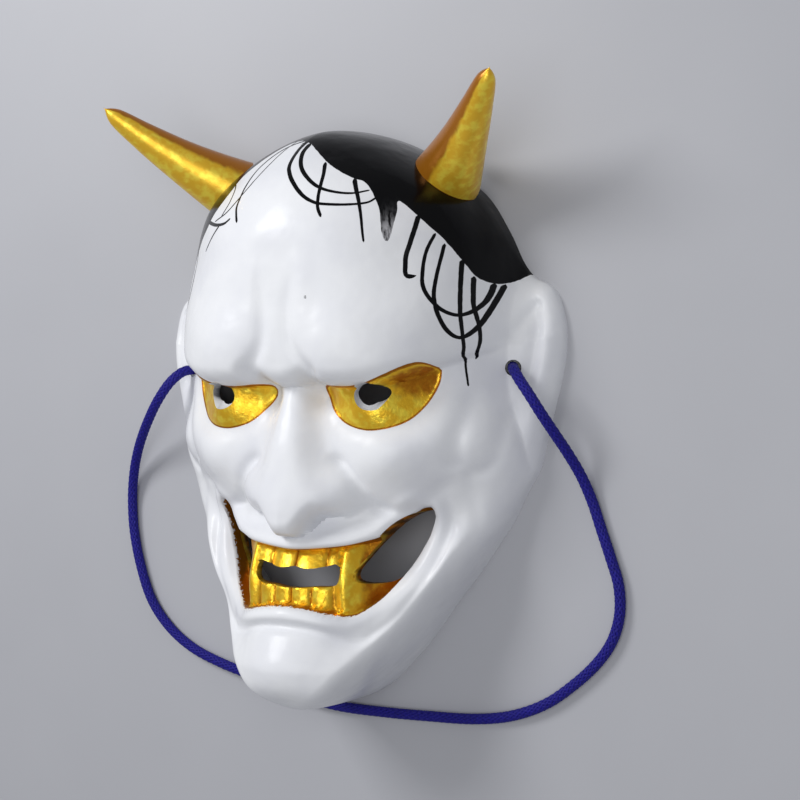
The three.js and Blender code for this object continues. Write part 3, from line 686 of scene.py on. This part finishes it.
def rows_inside(half, rows, columns, spread):
    """Places inside an outline, in rows that rise beside the brows and the mouth"""
    half = np.asarray(half)
    v = np.arange(1, rows) / rows
    down = 0.7 * v + 0.15 * (1 - np.cos(np.pi * v))
    rise = ROW_RISE * np.sin(np.pi * down) ** 0.8
    k = 2 * np.arange(columns + 1) / columns - 1
    u = (1 - spread) * k + spread * np.sin(k * np.pi / 2)
    top, bottom = half[0, 1], half[-1, 1]
    lift = rise[:, None] * u ** 2 * np.minimum(1, 4 * (1 - down))[:, None]
    y = (top + (bottom - top) * down)[:, None] + lift
    x = u * np.interp(-np.minimum(y, top), -half[:, 1], half[:, 0])
    return x, y


def body_under(name, half, x, y, height, floor):
    """A closed body under a surface over rows of places, walled where its edge stands above the floor"""
    rows, columns = x.shape
    top, bottom = half[0], half[-1]
    flat = floor >= height.min()
    places = [np.stack([x, y], -1).reshape(-1, 2), [top], [bottom]]
    heights = [height.ravel(), [height[0, columns // 2] if not flat else floor],
               [height[-1, columns // 2] if not flat else floor]]
    points = np.column_stack([np.vstack(places), np.concatenate(heights)])
    first, last = rows * columns, rows * columns + 1
    faces = []
    for i in range(rows - 1):
        for j in range(columns - 1):
            q = i * columns + j
            faces.append((q, q + columns, q + columns + 1, q + 1))
    end = (rows - 1) * columns
    for j in range(columns - 1):
        faces.append((first, j, j + 1))
        faces.append((last, end + j + 1, end + j))
    right = [i * columns + columns - 1 for i in range(rows)]
    left = [i * columns for i in range(rows)][::-1]
    rim = [first, *right, last, *left]
    if not flat:
        low = points[rim] * [1, 1, 0] + [0, 0, floor]
        walls = [(rim[n], rim[(n + 1) % len(rim)], len(points) + (n + 1) % len(rim), len(points) + n)
                 for n in range(len(rim))]
        faces += walls
        rim = [len(points) + n for n in range(len(rim))]
        points = np.vstack([points, low])
    points = np.vstack([points, [0, CENTRE_Y, floor]])
    faces += [(rim[n], len(points) - 1, rim[(n + 1) % len(rim)]) for n in range(len(rim))]
    return mesh_from(name, (points * [STEP[0], STEP[1], 1] + SHIFT) * MM, faces)


def outer_body():
    x, y = rows_inside(RIM_LINE, FACE_ROWS, FACE_COLUMNS, 0.38)
    height = face_height(x, y) * STEP[2]
    height[:, 0] = height[:, -1] = 0
    return body_under("outer_face", RIM_LINE[[0, -1]], x, y, height, 0.0)


def hollow_outline():
    """The rim drawn in by the width of its flat band"""
    along = np.gradient(RIM_LINE * STEP[:2], axis=0)
    along /= np.linalg.norm(along, axis=1)[:, None]
    inner = RIM_LINE + np.stack([along[:, 1], -along[:, 0]], 1) * RIM_BAND / STEP[:2]
    inner[0] = [0, RIM_LINE[0, 1] - RIM_BAND / STEP[1]]
    inner[-1] = [0, RIM_LINE[-1, 1] + CHIN_BAND / STEP[1]]
    keep = (inner[:, 0] > 0) & (inner[:, 1] < inner[0, 1]) & (inner[:, 1] > inner[-1, 1])
    keep[[0, -1]] = True
    return inner[keep]


def hollow_body():
    half = hollow_outline()
    x, y = rows_inside(half, HOLLOW_ROWS, HOLLOW_COLUMNS, 0.28)
    return body_under("hollow", half[[0, -1]], x, y, Hollow()(x, y), -WALL)


def horn_line(t):
    """The horn's middle line, in millimetres from the middle of the face, and its direction"""
    foot = HORN_FOOT * STEP
    tip = foot + [HORN_SPREAD, HORN_RISE, HORN_REACH]
    middle = (foot + tip) / 2 + HORN_BEND
    place = (1 - t) ** 2 * foot + 2 * t * (1 - t) * middle + t * t * tip
    way = (1 - t) * (middle - foot) + t * (tip - middle)
    return place, way / np.linalg.norm(way)


HORN_TAPER = [[0, 1], [0.15, 0.86], [0.4, 0.63], [0.7, 0.375], [0.92, 0.15], [1, 0]]


def horn_radius(t):
    return HORN_TIP_RADIUS * t + (HORN_FOOT_RADIUS - HORN_TIP_RADIUS * t) * profile(HORN_TAPER, t)


def horn_body(side):
    """A horn that thins and bends a little from its flared foot to its round tip"""
    points = []
    for i in range(HORN_RINGS):
        t = HORN_LAST_RING * i / (HORN_RINGS - 1)
        place, way = horn_line(t)
        across = np.cross(way, [0, 0, 1])
        across /= np.linalg.norm(across)
        up = np.cross(way, across)
        radius = horn_radius(t) * min(1, math.sqrt((HORN_RINGS - 1 - i) / 2.5) * 0.9 + 0.1)
        for k in range(HORN_SIDES):
            turn = math.tau * k / HORN_SIDES
            points.append(place + radius * (across * math.cos(turn) + up * math.sin(turn)))
    faces = [*tube_faces(HORN_RINGS, HORN_SIDES), tuple(range(HORN_SIDES))]
    tip = len(points)
    points.append(horn_line(1.0)[0])
    end = (HORN_RINGS - 1) * HORN_SIDES
    faces += [(end + k, end + (k + 1) % HORN_SIDES, tip) for k in range(HORN_SIDES)]
    return mesh_from("horn", (np.array(points) * [side, 1, 1] + SHIFT) * MM, faces)


def cut_through(name, sections):
    """A cut out through the face, from its outlines in steps and their heights in millimetres"""
    count = len(sections[0][0])
    points = np.vstack([np.column_stack([loop * STEP[:2], np.full(count, z)]) for loop, z in sections])
    last = len(points) - count
    faces = [tuple(range(count)), tuple(range(last, len(points))), *tube_faces(len(sections), count)]
    return mesh_from(name, (points + SHIFT) * MM, faces)


def straight_cut(name, loop):
    return cut_through(name, [(loop, CUT_FOOT), (loop, CUT_TOP)])


def ring(centre, radii, count):
    turn = np.arange(count) * math.tau / count
    return np.array(centre) + np.column_stack([np.cos(turn), np.sin(turn)]) * radii


def cord_hole(side):
    loop = ring([0, 0], CORD_DIAMETER / 2 + CORD_PLAY, HOLE_SIDES) / STEP[:2]
    hole = cut_through("cord_hole", [(loop, -WALL * 3), (loop, WALL * 3)])
    way = Vector(HOLE_WAY * [side, 1, 1])
    hole.transform(Matrix.Translation(-Vector(SHIFT) * MM))
    hole.transform(way.to_track_quat("Z", "Y").to_matrix().to_4x4())
    hole.transform(Matrix.Translation(Vector(EAR_HOLE * STEP * [side, 1, 1] + SHIFT) * MM))
    return hole


def pupil_cut(side):
    """A pupil's hole, whose lower wall slopes up to its narrower inner side"""
    sections = []
    for height, level in ((PUPIL_INNER_HEIGHT, CUT_FOOT), (PUPIL_INNER_HEIGHT, PUPIL_LIP - WALL),
                          (PUPIL_HEIGHT, PUPIL_LIP), (PUPIL_HEIGHT, CUT_TOP)):
        centre = np.array(PUPIL) * [side, 1] + [0, (PUPIL_HEIGHT - height) / 2 / STEP[1]]
        sections.append((ring(centre, np.array([PUPIL_WIDTH, height]) / 2 / STEP[:2], PUPIL_SIDES), level))
    return cut_through("pupil", sections)


def cut_tools():
    yield straight_cut("middle_gap", MIDDLE_GAP_LOOP)
    for side in (1, -1):
        yield straight_cut("side_gap", SIDE_GAP_LOOP * [side, 1])
        yield pupil_cut(side)
        yield cord_hole(side)


# Places in the mask's list of materials, whose first is the white paint
GOLD_HORN, INSIDE = 1, 2


def combine(target, mesh, operation, slot, materials):
    """Joins a body to the target or cuts it away; the faces that it leaves take its material"""
    for material in materials:
        mesh.materials.append(material)
    mesh.polygons.foreach_set("material_index", [slot] * len(mesh.polygons))
    tool = add_object(mesh.name, mesh)
    step = target.modifiers.new(mesh.name, "BOOLEAN")
    step.operation, step.solver, step.object = operation, "MANIFOLD", tool
    return tool


def make_mask(materials):
    mask = add_object("moulded_mask", outer_body())
    for material in materials:
        mask.data.materials.append(material)
    tools = [combine(mask, horn_body(side), "UNION", GOLD_HORN, materials) for side in (1, -1)]
    tools.append(combine(mask, hollow_body(), "DIFFERENCE", INSIDE, materials))
    tools += [combine(mask, tool, "DIFFERENCE", INSIDE, materials) for tool in cut_tools()]
    evaluated = mask.evaluated_get(bpy.context.evaluated_depsgraph_get())
    whole = bpy.data.meshes.new_from_object(evaluated)
    mask.modifiers.clear()
    mask.data = whole
    for tool in tools:
        bpy.data.objects.remove(tool)
    whole.shade_smooth()
    whole.set_sharp_from_angle(angle=math.radians(62))
    mark_paint(whole)
    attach(mask, "root")
    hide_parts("mask")
    return mask


# What is painted on the face, as pixels of the photograph
HAIRLINE_PIXELS = [
    (311, 143.6), (316.9, 150.7), (323.9, 158.9), (333.4, 167.2), (345.2, 174.3), (355.8, 179),
    (362.9, 180.9), (367.6, 184.9), (371.6, 190.8), (375.9, 200.2), (379.4, 209.7), (380.6, 223.8),
    (382.5, 235.6), (386.5, 241.5), (390.7, 235.6), (393.5, 223.8), (397.1, 212), (400.6, 201.4),
    (434.8, 230.9), (449, 245), (463.2, 261.6), (475, 275.7), (484.4, 280.9), (496.2, 284),
    (508, 283.3), (519.8, 280), (532.8, 274.6),
]
# The edge of the hair on the left half, which the photograph shows very slanted, in steps
LEFT_HAIRLINE = [
    (-3, 93.4), (-9, 92.8), (-15, 90), (-21, 86.2), (-26.5, 81.6), (-29.6, 76), (-33.1, 71.9), (-38, 67.2),
    (-41.2, 62.8), (-45.5, 58.4), (-50, 53.2), (-52.5, 46.6), (-54, 41), (-60, 38.5), (-67, 43),
]
LOCK_TIP_PIXEL = (386.5, 238.0)
SPECK_PIXEL = (305, 297)
# The strands of a group don't cross one another. Each is its pixels, its width in pixels at its start and
# its end, and whether both halves of the face have it.
STRAND_GROUPS = {
    "long_strands": [
        ([(309.3, 140), (298, 150.7), (289.7, 164.8), (289.7, 174.3), (294.4, 184.9), (302.7, 195.5),
          (312.1, 201.4), (321.6, 203.8), (345.2, 204.5), (366.4, 202.6), (375.9, 197.9)], 4.0, 1.6, False),
        ([(434.8, 234.4), (427.8, 247.4), (424.2, 259.2), (422.6, 271), (422.3, 282.8), (425.4, 292.3),
          (432.5, 301.7), (441.9, 310), (453.7, 314.7), (463.2, 314.7), (473.8, 310.7), (484.4, 302.9),
          (491, 293.4), (493.8, 285.2)], 2.0, 3.0, True),
        ([(308.6, 140), (290.9, 146), (274.4, 155.4), (257.9, 169.6), (246, 186), (240.2, 197.9),
          (236.6, 207.3), (236.2, 214.4), (236.6, 221.5)], 1.3, 2.6, False),
        ([(218.9, 226.2), (213, 235.6), (206, 251)], 2.2, 1.4, False),
    ],
    "short_strands": [
        ([(309.3, 144.8), (302.7, 153), (300.8, 163.7), (303.9, 173), (312.1, 182.5), (321.6, 188.4),
          (335.7, 192), (352.3, 193.2), (368.8, 190.3)], 3.8, 1.4, False),
        ([(444.3, 245), (440.7, 259.2), (436, 278.1), (433.7, 294.6), (436, 308.8), (440.7, 320.6),
          (446.6, 330), (453.7, 335.9), (460.8, 337.6), (469, 334.3), (479.7, 325.3), (489.1, 312.3),
          (498.5, 297), (504.4, 286.4)], 2.0, 3.0, True),
        ([(298, 141.2), (279, 155.4), (260.2, 174.3), (243.7, 193.1), (227.2, 212), (215.4, 221.5)],
         1.2, 1.4, False),
    ],
    "straight_strands": [
        ([(325.1, 163.7), (323.5, 174.3), (320.4, 186), (318, 197.9), (317.6, 207.3), (320.4, 215.6)],
         2.8, 2.4, False),
        ([(354.6, 180.2), (356.5, 190.8), (358.9, 202.6), (361.2, 219.1), (363.6, 241.5)], 3.2, 1.5, False),
        ([(418.3, 216.7), (414.8, 228.5), (410.1, 242.7), (406, 255.7), (405.3, 266.3), (405.3, 273.4),
          (408.5, 277), (413.8, 276)], 3.0, 2.6, False),
        ([(462, 261.6), (460.8, 280.4), (460.1, 299.3), (460.3, 315.8), (462, 330), (463.9, 346.5),
          (465.5, 363), (468.3, 385.5)], 2.6, 1.2, True),
        ([(236.6, 179), (235.5, 188.4), (229.6, 202.6), (221.3, 216.7)], 1.6, 1.4, False),
    ],
    "side_strands": [
        ([(473.8, 278.1), (473.3, 292.3), (473.8, 306.4), (477.8, 320.6), (480.1, 332.4), (479.7, 344.2),
          (476.1, 358.3)], 2.6, 1.4, True),
        ([(208.3, 221.5), (215.4, 225), (223.7, 223.8), (229.6, 219.1)], 3.2, 2.0, False),
    ],
}
# Half a strand's width in steps for each pixel of its width, and how fast the half width falls past its ends
STRAND_HALF_WIDTH = MM_PER_PIXEL * 0.65
STRAND_END_FALL = 0.8
# Rounds in which a line of sight is brought down on the skin, and the share of the way that each one goes
SIGHT_ROUNDS = 50
SIGHT_SHARE = 0.35
# The way to the side of each horn that is browned by a painted dark reflection, both given as on the right
# half
RIGHT_DARK_REFLECTION_SIDE = np.array([-0.85, 0.4, 0.34])
LEFT_DARK_REFLECTION_SIDE = np.array([-0.25, 0.95, -0.15])
# Places outside the rim, round the top of the head, that close the area of the hair, in steps
PAST_THE_RIM = [(95, 46), (95, 125), (-95, 125), (-95, 46)]


def on_skin(pixels):
    """Where the lines of sight through pixels of the photograph meet the skin, in steps"""
    u, v = np.array(pixels, float).T
    middle = PHOTO_SIDE / 2
    aim = np.stack([(u - middle) / FOCAL_PIXELS, (middle - v) / FOCAL_PIXELS, -np.ones(len(u))], 1)
    way = aim @ CAMERA_AXES
    height = np.full(len(u), FACE_DEPTH * 0.6)

    def seen_at(height):
        return (EYE_POINT + way * ((height - EYE_POINT[2]) / way[:, 2])[:, None])[:, :2] / STEP[:2]

    for _ in range(SIGHT_ROUNDS):
        under = skin_height(*seen_at(height).T) * STEP[2]
        height = (1 - SIGHT_SHARE) * height + SIGHT_SHARE * under
    return seen_at(height)


def strand_field(x, y, strands):
    """For each place the offset from the nearest strand, the distance to it and its half width there"""
    best = np.full(len(x), np.inf)
    field = np.zeros((len(x), 3))
    for pixels, start_width, end_width, both_halves in strands:
        across = np.abs(x) if both_halves else x
        line = smooth_line(on_skin(pixels), 5)
        spans = len(line) - 1
        for i, (a, b) in enumerate(zip(line, line[1:])):
            reach = np.linalg.norm(b - a)
            e = (b - a) / reach
            dx, dy = across - a[0], y - a[1]
            along = dx * e[0] + dy * e[1]
            t = np.clip(along, 0, reach)
            past = np.abs(along - t)
            offset = e[0] * dy - e[1] * dx
            distance = np.hypot(past, offset)
            share = (i + t / reach) / spans
            half = (start_width + (end_width - start_width) * share) * STRAND_HALF_WIDTH
            if i in (0, spans - 1):
                half = half - past * STRAND_END_FALL
            near = distance < best
            best = np.where(near, distance, best)
            field = np.where(near[:, None], np.stack([offset, distance, half], 1), field)
    return field


def add_attribute(mesh, name, values):
    """Keeps a number or a vector on each point of a mesh"""
    kind, field = ("FLOAT_VECTOR", "vector") if np.ndim(values) == 2 else ("FLOAT", "value")
    made = mesh.attributes.new(name, kind, "POINT")
    made.data.foreach_set(field, np.ravel(values).astype(np.float32))


def off_horn_line(place):
    """The way from the nearest point of the right horn's middle line to each place, with length 1"""
    line = np.array([horn_line(t)[0] for t in np.linspace(0, 1, HORN_RINGS)])
    nearest_index = np.argmin(((place[:, None] - line[None]) ** 2).sum(2), axis=1)
    away = place - line[nearest_index]
    return away / (np.linalg.norm(away, axis=1)[:, None] + 1e-9)


def mark_paint(mesh):
    """Keeps on each point how far it lies inside the painted areas, in steps, how their paint varies, and
    where painted shade and painted dark reflection brown the gold
    """
    co = np.zeros(len(mesh.vertices) * 3)
    mesh.vertices.foreach_get("co", co)
    place = (co.reshape(-1, 3) / MM - SHIFT) / STEP
    x, y, z = place.T
    a = np.abs(x)
    right, left = smooth_line(on_skin(HAIRLINE_PIXELS), 5), smooth_line(LEFT_HAIRLINE, 5)
    hair_edge = np.vstack([right, PAST_THE_RIM, left[::-1]])
    in_eye, in_mouth = -outside(a, y, EYE_LOOP), -outside(x, y, MOUTH_LOOP)
    tip, speck = on_skin([LOCK_TIP_PIXEL, SPECK_PIXEL])
    # Painted shade: the upper outer part of the right eye's gold is browned where the brow's shadow falls
    eye_corner_shade = smooth_step(x, 32, 42) * smooth_step(y, -4, 5) * smooth_step(in_eye, 0, 2)
    # Painted shade: the gold in the mouth is browned where the teeth sink, in the hollows between them
    teeth_hollow_shade = smooth_step(in_mouth, -0.5, 0) * (0.95 - np.clip(teeth(x, y) / 2.2, 0, 1))
    on_right = np.stack([a, y, z], 1) * STEP
    away = off_horn_line(on_right)
    marks = {
        "hair": -outside(x, y, hair_edge),
        "eye": in_eye,
        "mouth": in_mouth,
        "faded": np.exp(-(((x - tip[0]) / 3) ** 2 + ((y - tip[1]) / 6) ** 2)),
        "speck": np.hypot(x - speck[0], y - speck[1]),
        "ragged": smooth_step(-x, 18, 26) + smooth_step(-y, 66, 72),
        # Painted shade on the gold, from the eye corner and the teeth hollows above
        "painted_shade": 0.75 * eye_corner_shade + 0.8 * teeth_hollow_shade,
        "wall": 1 - smooth_step(face_height(x, y) - z, WALL * 0.6, WALL * 1.4),
        # Painted dark reflection along one side of each horn
        "horn_dark_reflection": np.where(x > 0, away @ RIGHT_DARK_REFLECTION_SIDE, away @ LEFT_DARK_REFLECTION_SIDE),
        "horn_foot": on_right[:, 2] - skin_height(a, y) * STEP[2],
    }
    for name, strands in STRAND_GROUPS.items():
        marks[name] = strand_field(x, y, strands)
    for name, values in marks.items():
        add_attribute(mesh, name, values)


def new_finish(name):
    material = bpy.data.materials.new(name)
    material.use_nodes = True
    return material, Finish(material.node_tree)


class Finish(Tree):
    """The tree of a paint or cloth finish, with the patterns that the finishes share"""

    def surface(self, values):
        """Sets or links the sockets of the finish"""
        for name, value in values.items():
            self.set(self.tree.nodes["Principled BSDF"].inputs[name], value)

    def attribute(self, name, output=2):
        settings = {"attribute_type": "GEOMETRY", "attribute_name": name}
        return self.value("ShaderNodeAttribute", settings, None, output)

    def place(self, stretch=(1, 1, 1)):
        place = self.value("ShaderNodeTexCoord", None, None, 3)
        return self.value("ShaderNodeMapping", None, {"Vector": place, "Scale": stretch})

    def noise(self, size, detail=2.0, stretch=(1, 1, 1), roughness=0.5):
        """Cloudy variation from 0 to 1 with patches of a size in millimetres"""
        return self.value("ShaderNodeTexNoise", None, {
            "Vector": self.place(stretch), "Scale": 1 / (size * MM), "Detail": detail,
            "Roughness": roughness})

    def between(self, value, low, high):
        """0 below low, 1 above high and a smooth rise between them"""
        return self.value("ShaderNodeMapRange", {"interpolation_type": "SMOOTHSTEP"}, {
            "Value": value, "From Min": low, "From Max": high})

    def mix(self, share, first, second):
        first, second = [(*c, 1) if isinstance(c, tuple) else c for c in (first, second)]
        return self.value("ShaderNodeMix", {"data_type": "RGBA"}, {0: share, 6: first, 7: second}, 2)

    def bump(self, height):
        """A surface raised by a height in millimetres"""
        return self.value("ShaderNodeBump", None, {"Height": height, "Distance": MM, "Strength": 1.0})


WHITE = (0.80, 0.81, 0.835)
WHITE_SHADE = (0.74, 0.75, 0.79)
BLACK = (0.0015, 0.0015, 0.002)
GOLD = (0.86, 0.51, 0.03)
PALE_GOLD = (0.96, 0.73, 0.07)
BROWN_GOLD = (0.42, 0.15, 0.008)
DARK_GOLD = (0.16, 0.075, 0.015)
FADED_BLACK = (0.55, 0.55, 0.58)
BARE_PLASTIC = (0.72, 0.73, 0.75)
DARK_BLUE = (0.003, 0.002, 0.09)
BLUE = (0.010, 0.006, 0.30)
FLOOR_GREY = (0.40, 0.405, 0.435)
PALE_FLOOR_GREY = (0.43, 0.435, 0.465)

# How strongly the paint and the elastic mirror the light, and how much of a metal the horns' paint is
PAINT_SHINE = 0.17
ELASTIC_SHINE = 0.3
HORN_METAL = 0.5


def gold_leaf(finish, shade):
    """Gold paint, pale where it was laid thick and brown where the shade given to it is high, which carries
    painted outlines, painted shade and painted dark reflection, with brush marks and small dents
    """
    cloud = finish.noise(3.5, 3.0)
    colour = finish.mix(finish.between(cloud, 0.42, 0.68), GOLD, PALE_GOLD)
    colour = finish.mix(finish.between(shade + (cloud - 0.5) * 0.9, 0.25, 0.8), colour, BROWN_GOLD)
    dents = finish.noise(1.6, 3.0) * 0.22 + finish.noise(0.5, 2.0) * 0.05
    return colour, dents


def strand_mask(finish, name, wobble):
    """1 on a group's strands; its attribute holds the offset from a strand, the distance and half width"""
    parts = finish.node("ShaderNodeSeparateXYZ", None, {0: finish.attribute(name, 1)}).outputs
    offset, distance, half = (Value(finish, parts[k]) for k in range(3))
    inside = half + wobble - offset.maths("ABSOLUTE")
    return finish.between(inside, -0.05, 0.06) * finish.between(distance * -1, -1.3, -1.1)


def white_paint():
    material, finish = new_finish("white_paint")
    wobble = (finish.noise(2.2, 2.0) - 0.5) * 0.35
    faded = finish.attribute("faded") * finish.between(finish.noise(1.1, 3.0, (1, 0.22, 1)), 0.35, 0.62)
    black = finish.between(finish.attribute("hair") + wobble, -0.08, 0.08)
    for name in STRAND_GROUPS:
        black = black.maths("MAXIMUM", strand_mask(finish, name, wobble * 0.5))
    speck = finish.between(finish.attribute("speck") * -1, -0.8, -0.5) * 0.6
    black = black.maths("MAXIMUM", speck)
    ragged = (finish.noise(1.4, 4.0, roughness=0.7) - 0.5) * 1.3
    mouth_depth = finish.attribute("mouth") + ragged * finish.between(finish.attribute("ragged"), 0.1, 0.9)
    eye_depth = finish.attribute("eye") + wobble * 0.4
    mouth, eye = (finish.between(depth, -0.06, 0.06) for depth in (mouth_depth, eye_depth))
    gold = mouth.maths("MAXIMUM", eye)
    # Brown outlines painted round the eyes and the mouth, then the painted shade kept on the points
    shade = finish.between(eye_depth * -1, -1.0, -0.25) * eye
    shade = shade + finish.between(mouth_depth * -1, -0.8, -0.1) * mouth
    shade = (shade + finish.attribute("painted_shade")).maths("MINIMUM", 1.0)
    gold_colour, dents = gold_leaf(finish, shade)
    white = finish.mix(finish.between(finish.noise(26, 3.0), 0.35, 0.7), WHITE, WHITE_SHADE)
    colour = finish.mix(black, white, finish.mix(faded, BLACK, FADED_BLACK))
    gloss = finish.noise(9, 3.0) * 0.10 + 0.20 - black * 0.08
    gold_gloss = 0.10 + (finish.noise(1.2, 3.0) - 0.5) * 0.25
    moulding = finish.noise(14, 2.0) * 0.55 + finish.noise(4.0, 2.0) * 0.05
    finish.surface({
        "Base Color": finish.mix(gold, colour, gold_colour),
        "Metallic": gold * 0.7,
        "Roughness": gloss + gold * gold_gloss,
        "Specular IOR Level": PAINT_SHINE,
        "Normal": finish.bump(moulding * (1 - gold) + dents * gold),
    })
    return material


def horn_gold():
    material, finish = new_finish("horn_gold")
    # Painted dark reflection: one side of each horn is browned as if it mirrored darker surroundings, and a
    # brown line is painted round its foot
    shade = finish.between(finish.attribute("horn_dark_reflection"), 0.15, 0.7)
    foot = finish.between(finish.attribute("horn_foot") * -1, -1.1, -0.5)
    colour, dents = gold_leaf(finish, shade.maths("MAXIMUM", foot))
    finish.surface({
        "Base Color": colour,
        "Metallic": HORN_METAL,
        "Roughness": finish.noise(2.0, 4.0) * 0.15 + 0.24,
        "Normal": finish.bump(dents * 0.3),
    })
    return material


def bare_inside():
    """The unpainted inside, with gold and brown paint run through the mouth, and ridges from the moulding"""
    material, finish = new_finish("bare_inside")
    mouth = finish.attribute("mouth")
    over = finish.between(mouth + (finish.noise(7, 4.0) - 0.5) * 16, -10, -3)
    wall = finish.between(mouth, -0.6, 0.1) * finish.between(finish.attribute("wall"), 0.3, 0.7)
    ridge = finish.value("ShaderNodeTexWave", {"wave_type": "BANDS", "bands_direction": "Y"}, {
        "Vector": finish.place(), "Scale": 1 / (11.0 * MM), "Distortion": 3.0, "Detail": 3.0,
        "Detail Scale": 1.2})
    browned = finish.between(ridge + (finish.noise(1.5, 3.0) - 0.5), 0.3, 0.9)
    sprayed = finish.mix(browned, DARK_GOLD, BROWN_GOLD)
    gold_colour, dents = gold_leaf(finish, finish.noise(4.0, 2.0) * 0.5)
    colour = finish.mix(over, BARE_PLASTIC, sprayed)
    finish.surface({
        "Base Color": finish.mix(wall, colour, gold_colour),
        "Metallic": over.maths("MAXIMUM", wall) * 0.8,
        "Roughness": finish.noise(5, 3.0) * 0.15 + 0.38 - wall * 0.08,
        "Normal": finish.bump(ridge * over * 0.5 + dents * wall + finish.noise(3, 3.0) * 0.06),
    })
    return material


def blue_elastic():
    material, finish = new_finish("blue_elastic")
    finish.surface({
        "Base Color": finish.mix(finish.noise(0.7, 2.0), DARK_BLUE, BLUE),
        "Roughness": finish.noise(0.4, 2.0) * 0.2 + 0.5,
        "Specular IOR Level": ELASTIC_SHINE,
    })
    return material


def table_top():
    material, finish = new_finish("table_top")
    finish.surface({
        "Base Color": finish.mix(finish.noise(60, 3.0), FLOOR_GREY, PALE_FLOOR_GREY),
        "Roughness": 0.5,
    })
    return material


# The studio, in metres: half the floor's side, where the lights aim, and each light's place, size and watts
FLOOR_HALF_SIDE = 1.5
LIGHT_AIM = Vector((0, 0, 0.03))
LIGHTS = {
    "key": ((-0.42, 0.42, 0.60), 0.30, 4.0),
    "fill": ((0.25, 0.00, 0.90), 0.60, 3.0),
}
WORLD_COLOUR = (0.93, 0.95, 1, 1)
WORLD_STRENGTH = 0.32


def make_floor():
    corners = [(a * FLOOR_HALF_SIDE, b * FLOOR_HALF_SIDE, 0) for a, b in ((-1, -1), (1, -1), (1, 1), (-1, 1))]
    floor = add_object("floor", mesh_from("floor", corners, [(0, 1, 2, 3)]))
    floor.data.materials.append(table_top())


def make_studio():
    make_floor()
    world = bpy.data.worlds.new("studio")
    bpy.context.scene.world = world
    world.use_nodes = True
    background = world.node_tree.nodes["Background"].inputs
    background["Color"].default_value = WORLD_COLOUR
    background["Strength"].default_value = WORLD_STRENGTH
    for name, (place, size, power) in LIGHTS.items():
        light = add_object(name, bpy.data.lights.new(name, "AREA"))
        light.data.size, light.data.energy = size, power
        light.location = place
        light.rotation_euler = (LIGHT_AIM - Vector(place)).to_track_quat("-Z", "Y").to_euler()
    bpy.context.scene.view_settings.view_transform = "Standard"


make_cord(blue_elastic())
make_mask([white_paint(), horn_gold(), bare_inside()])
make_studio()
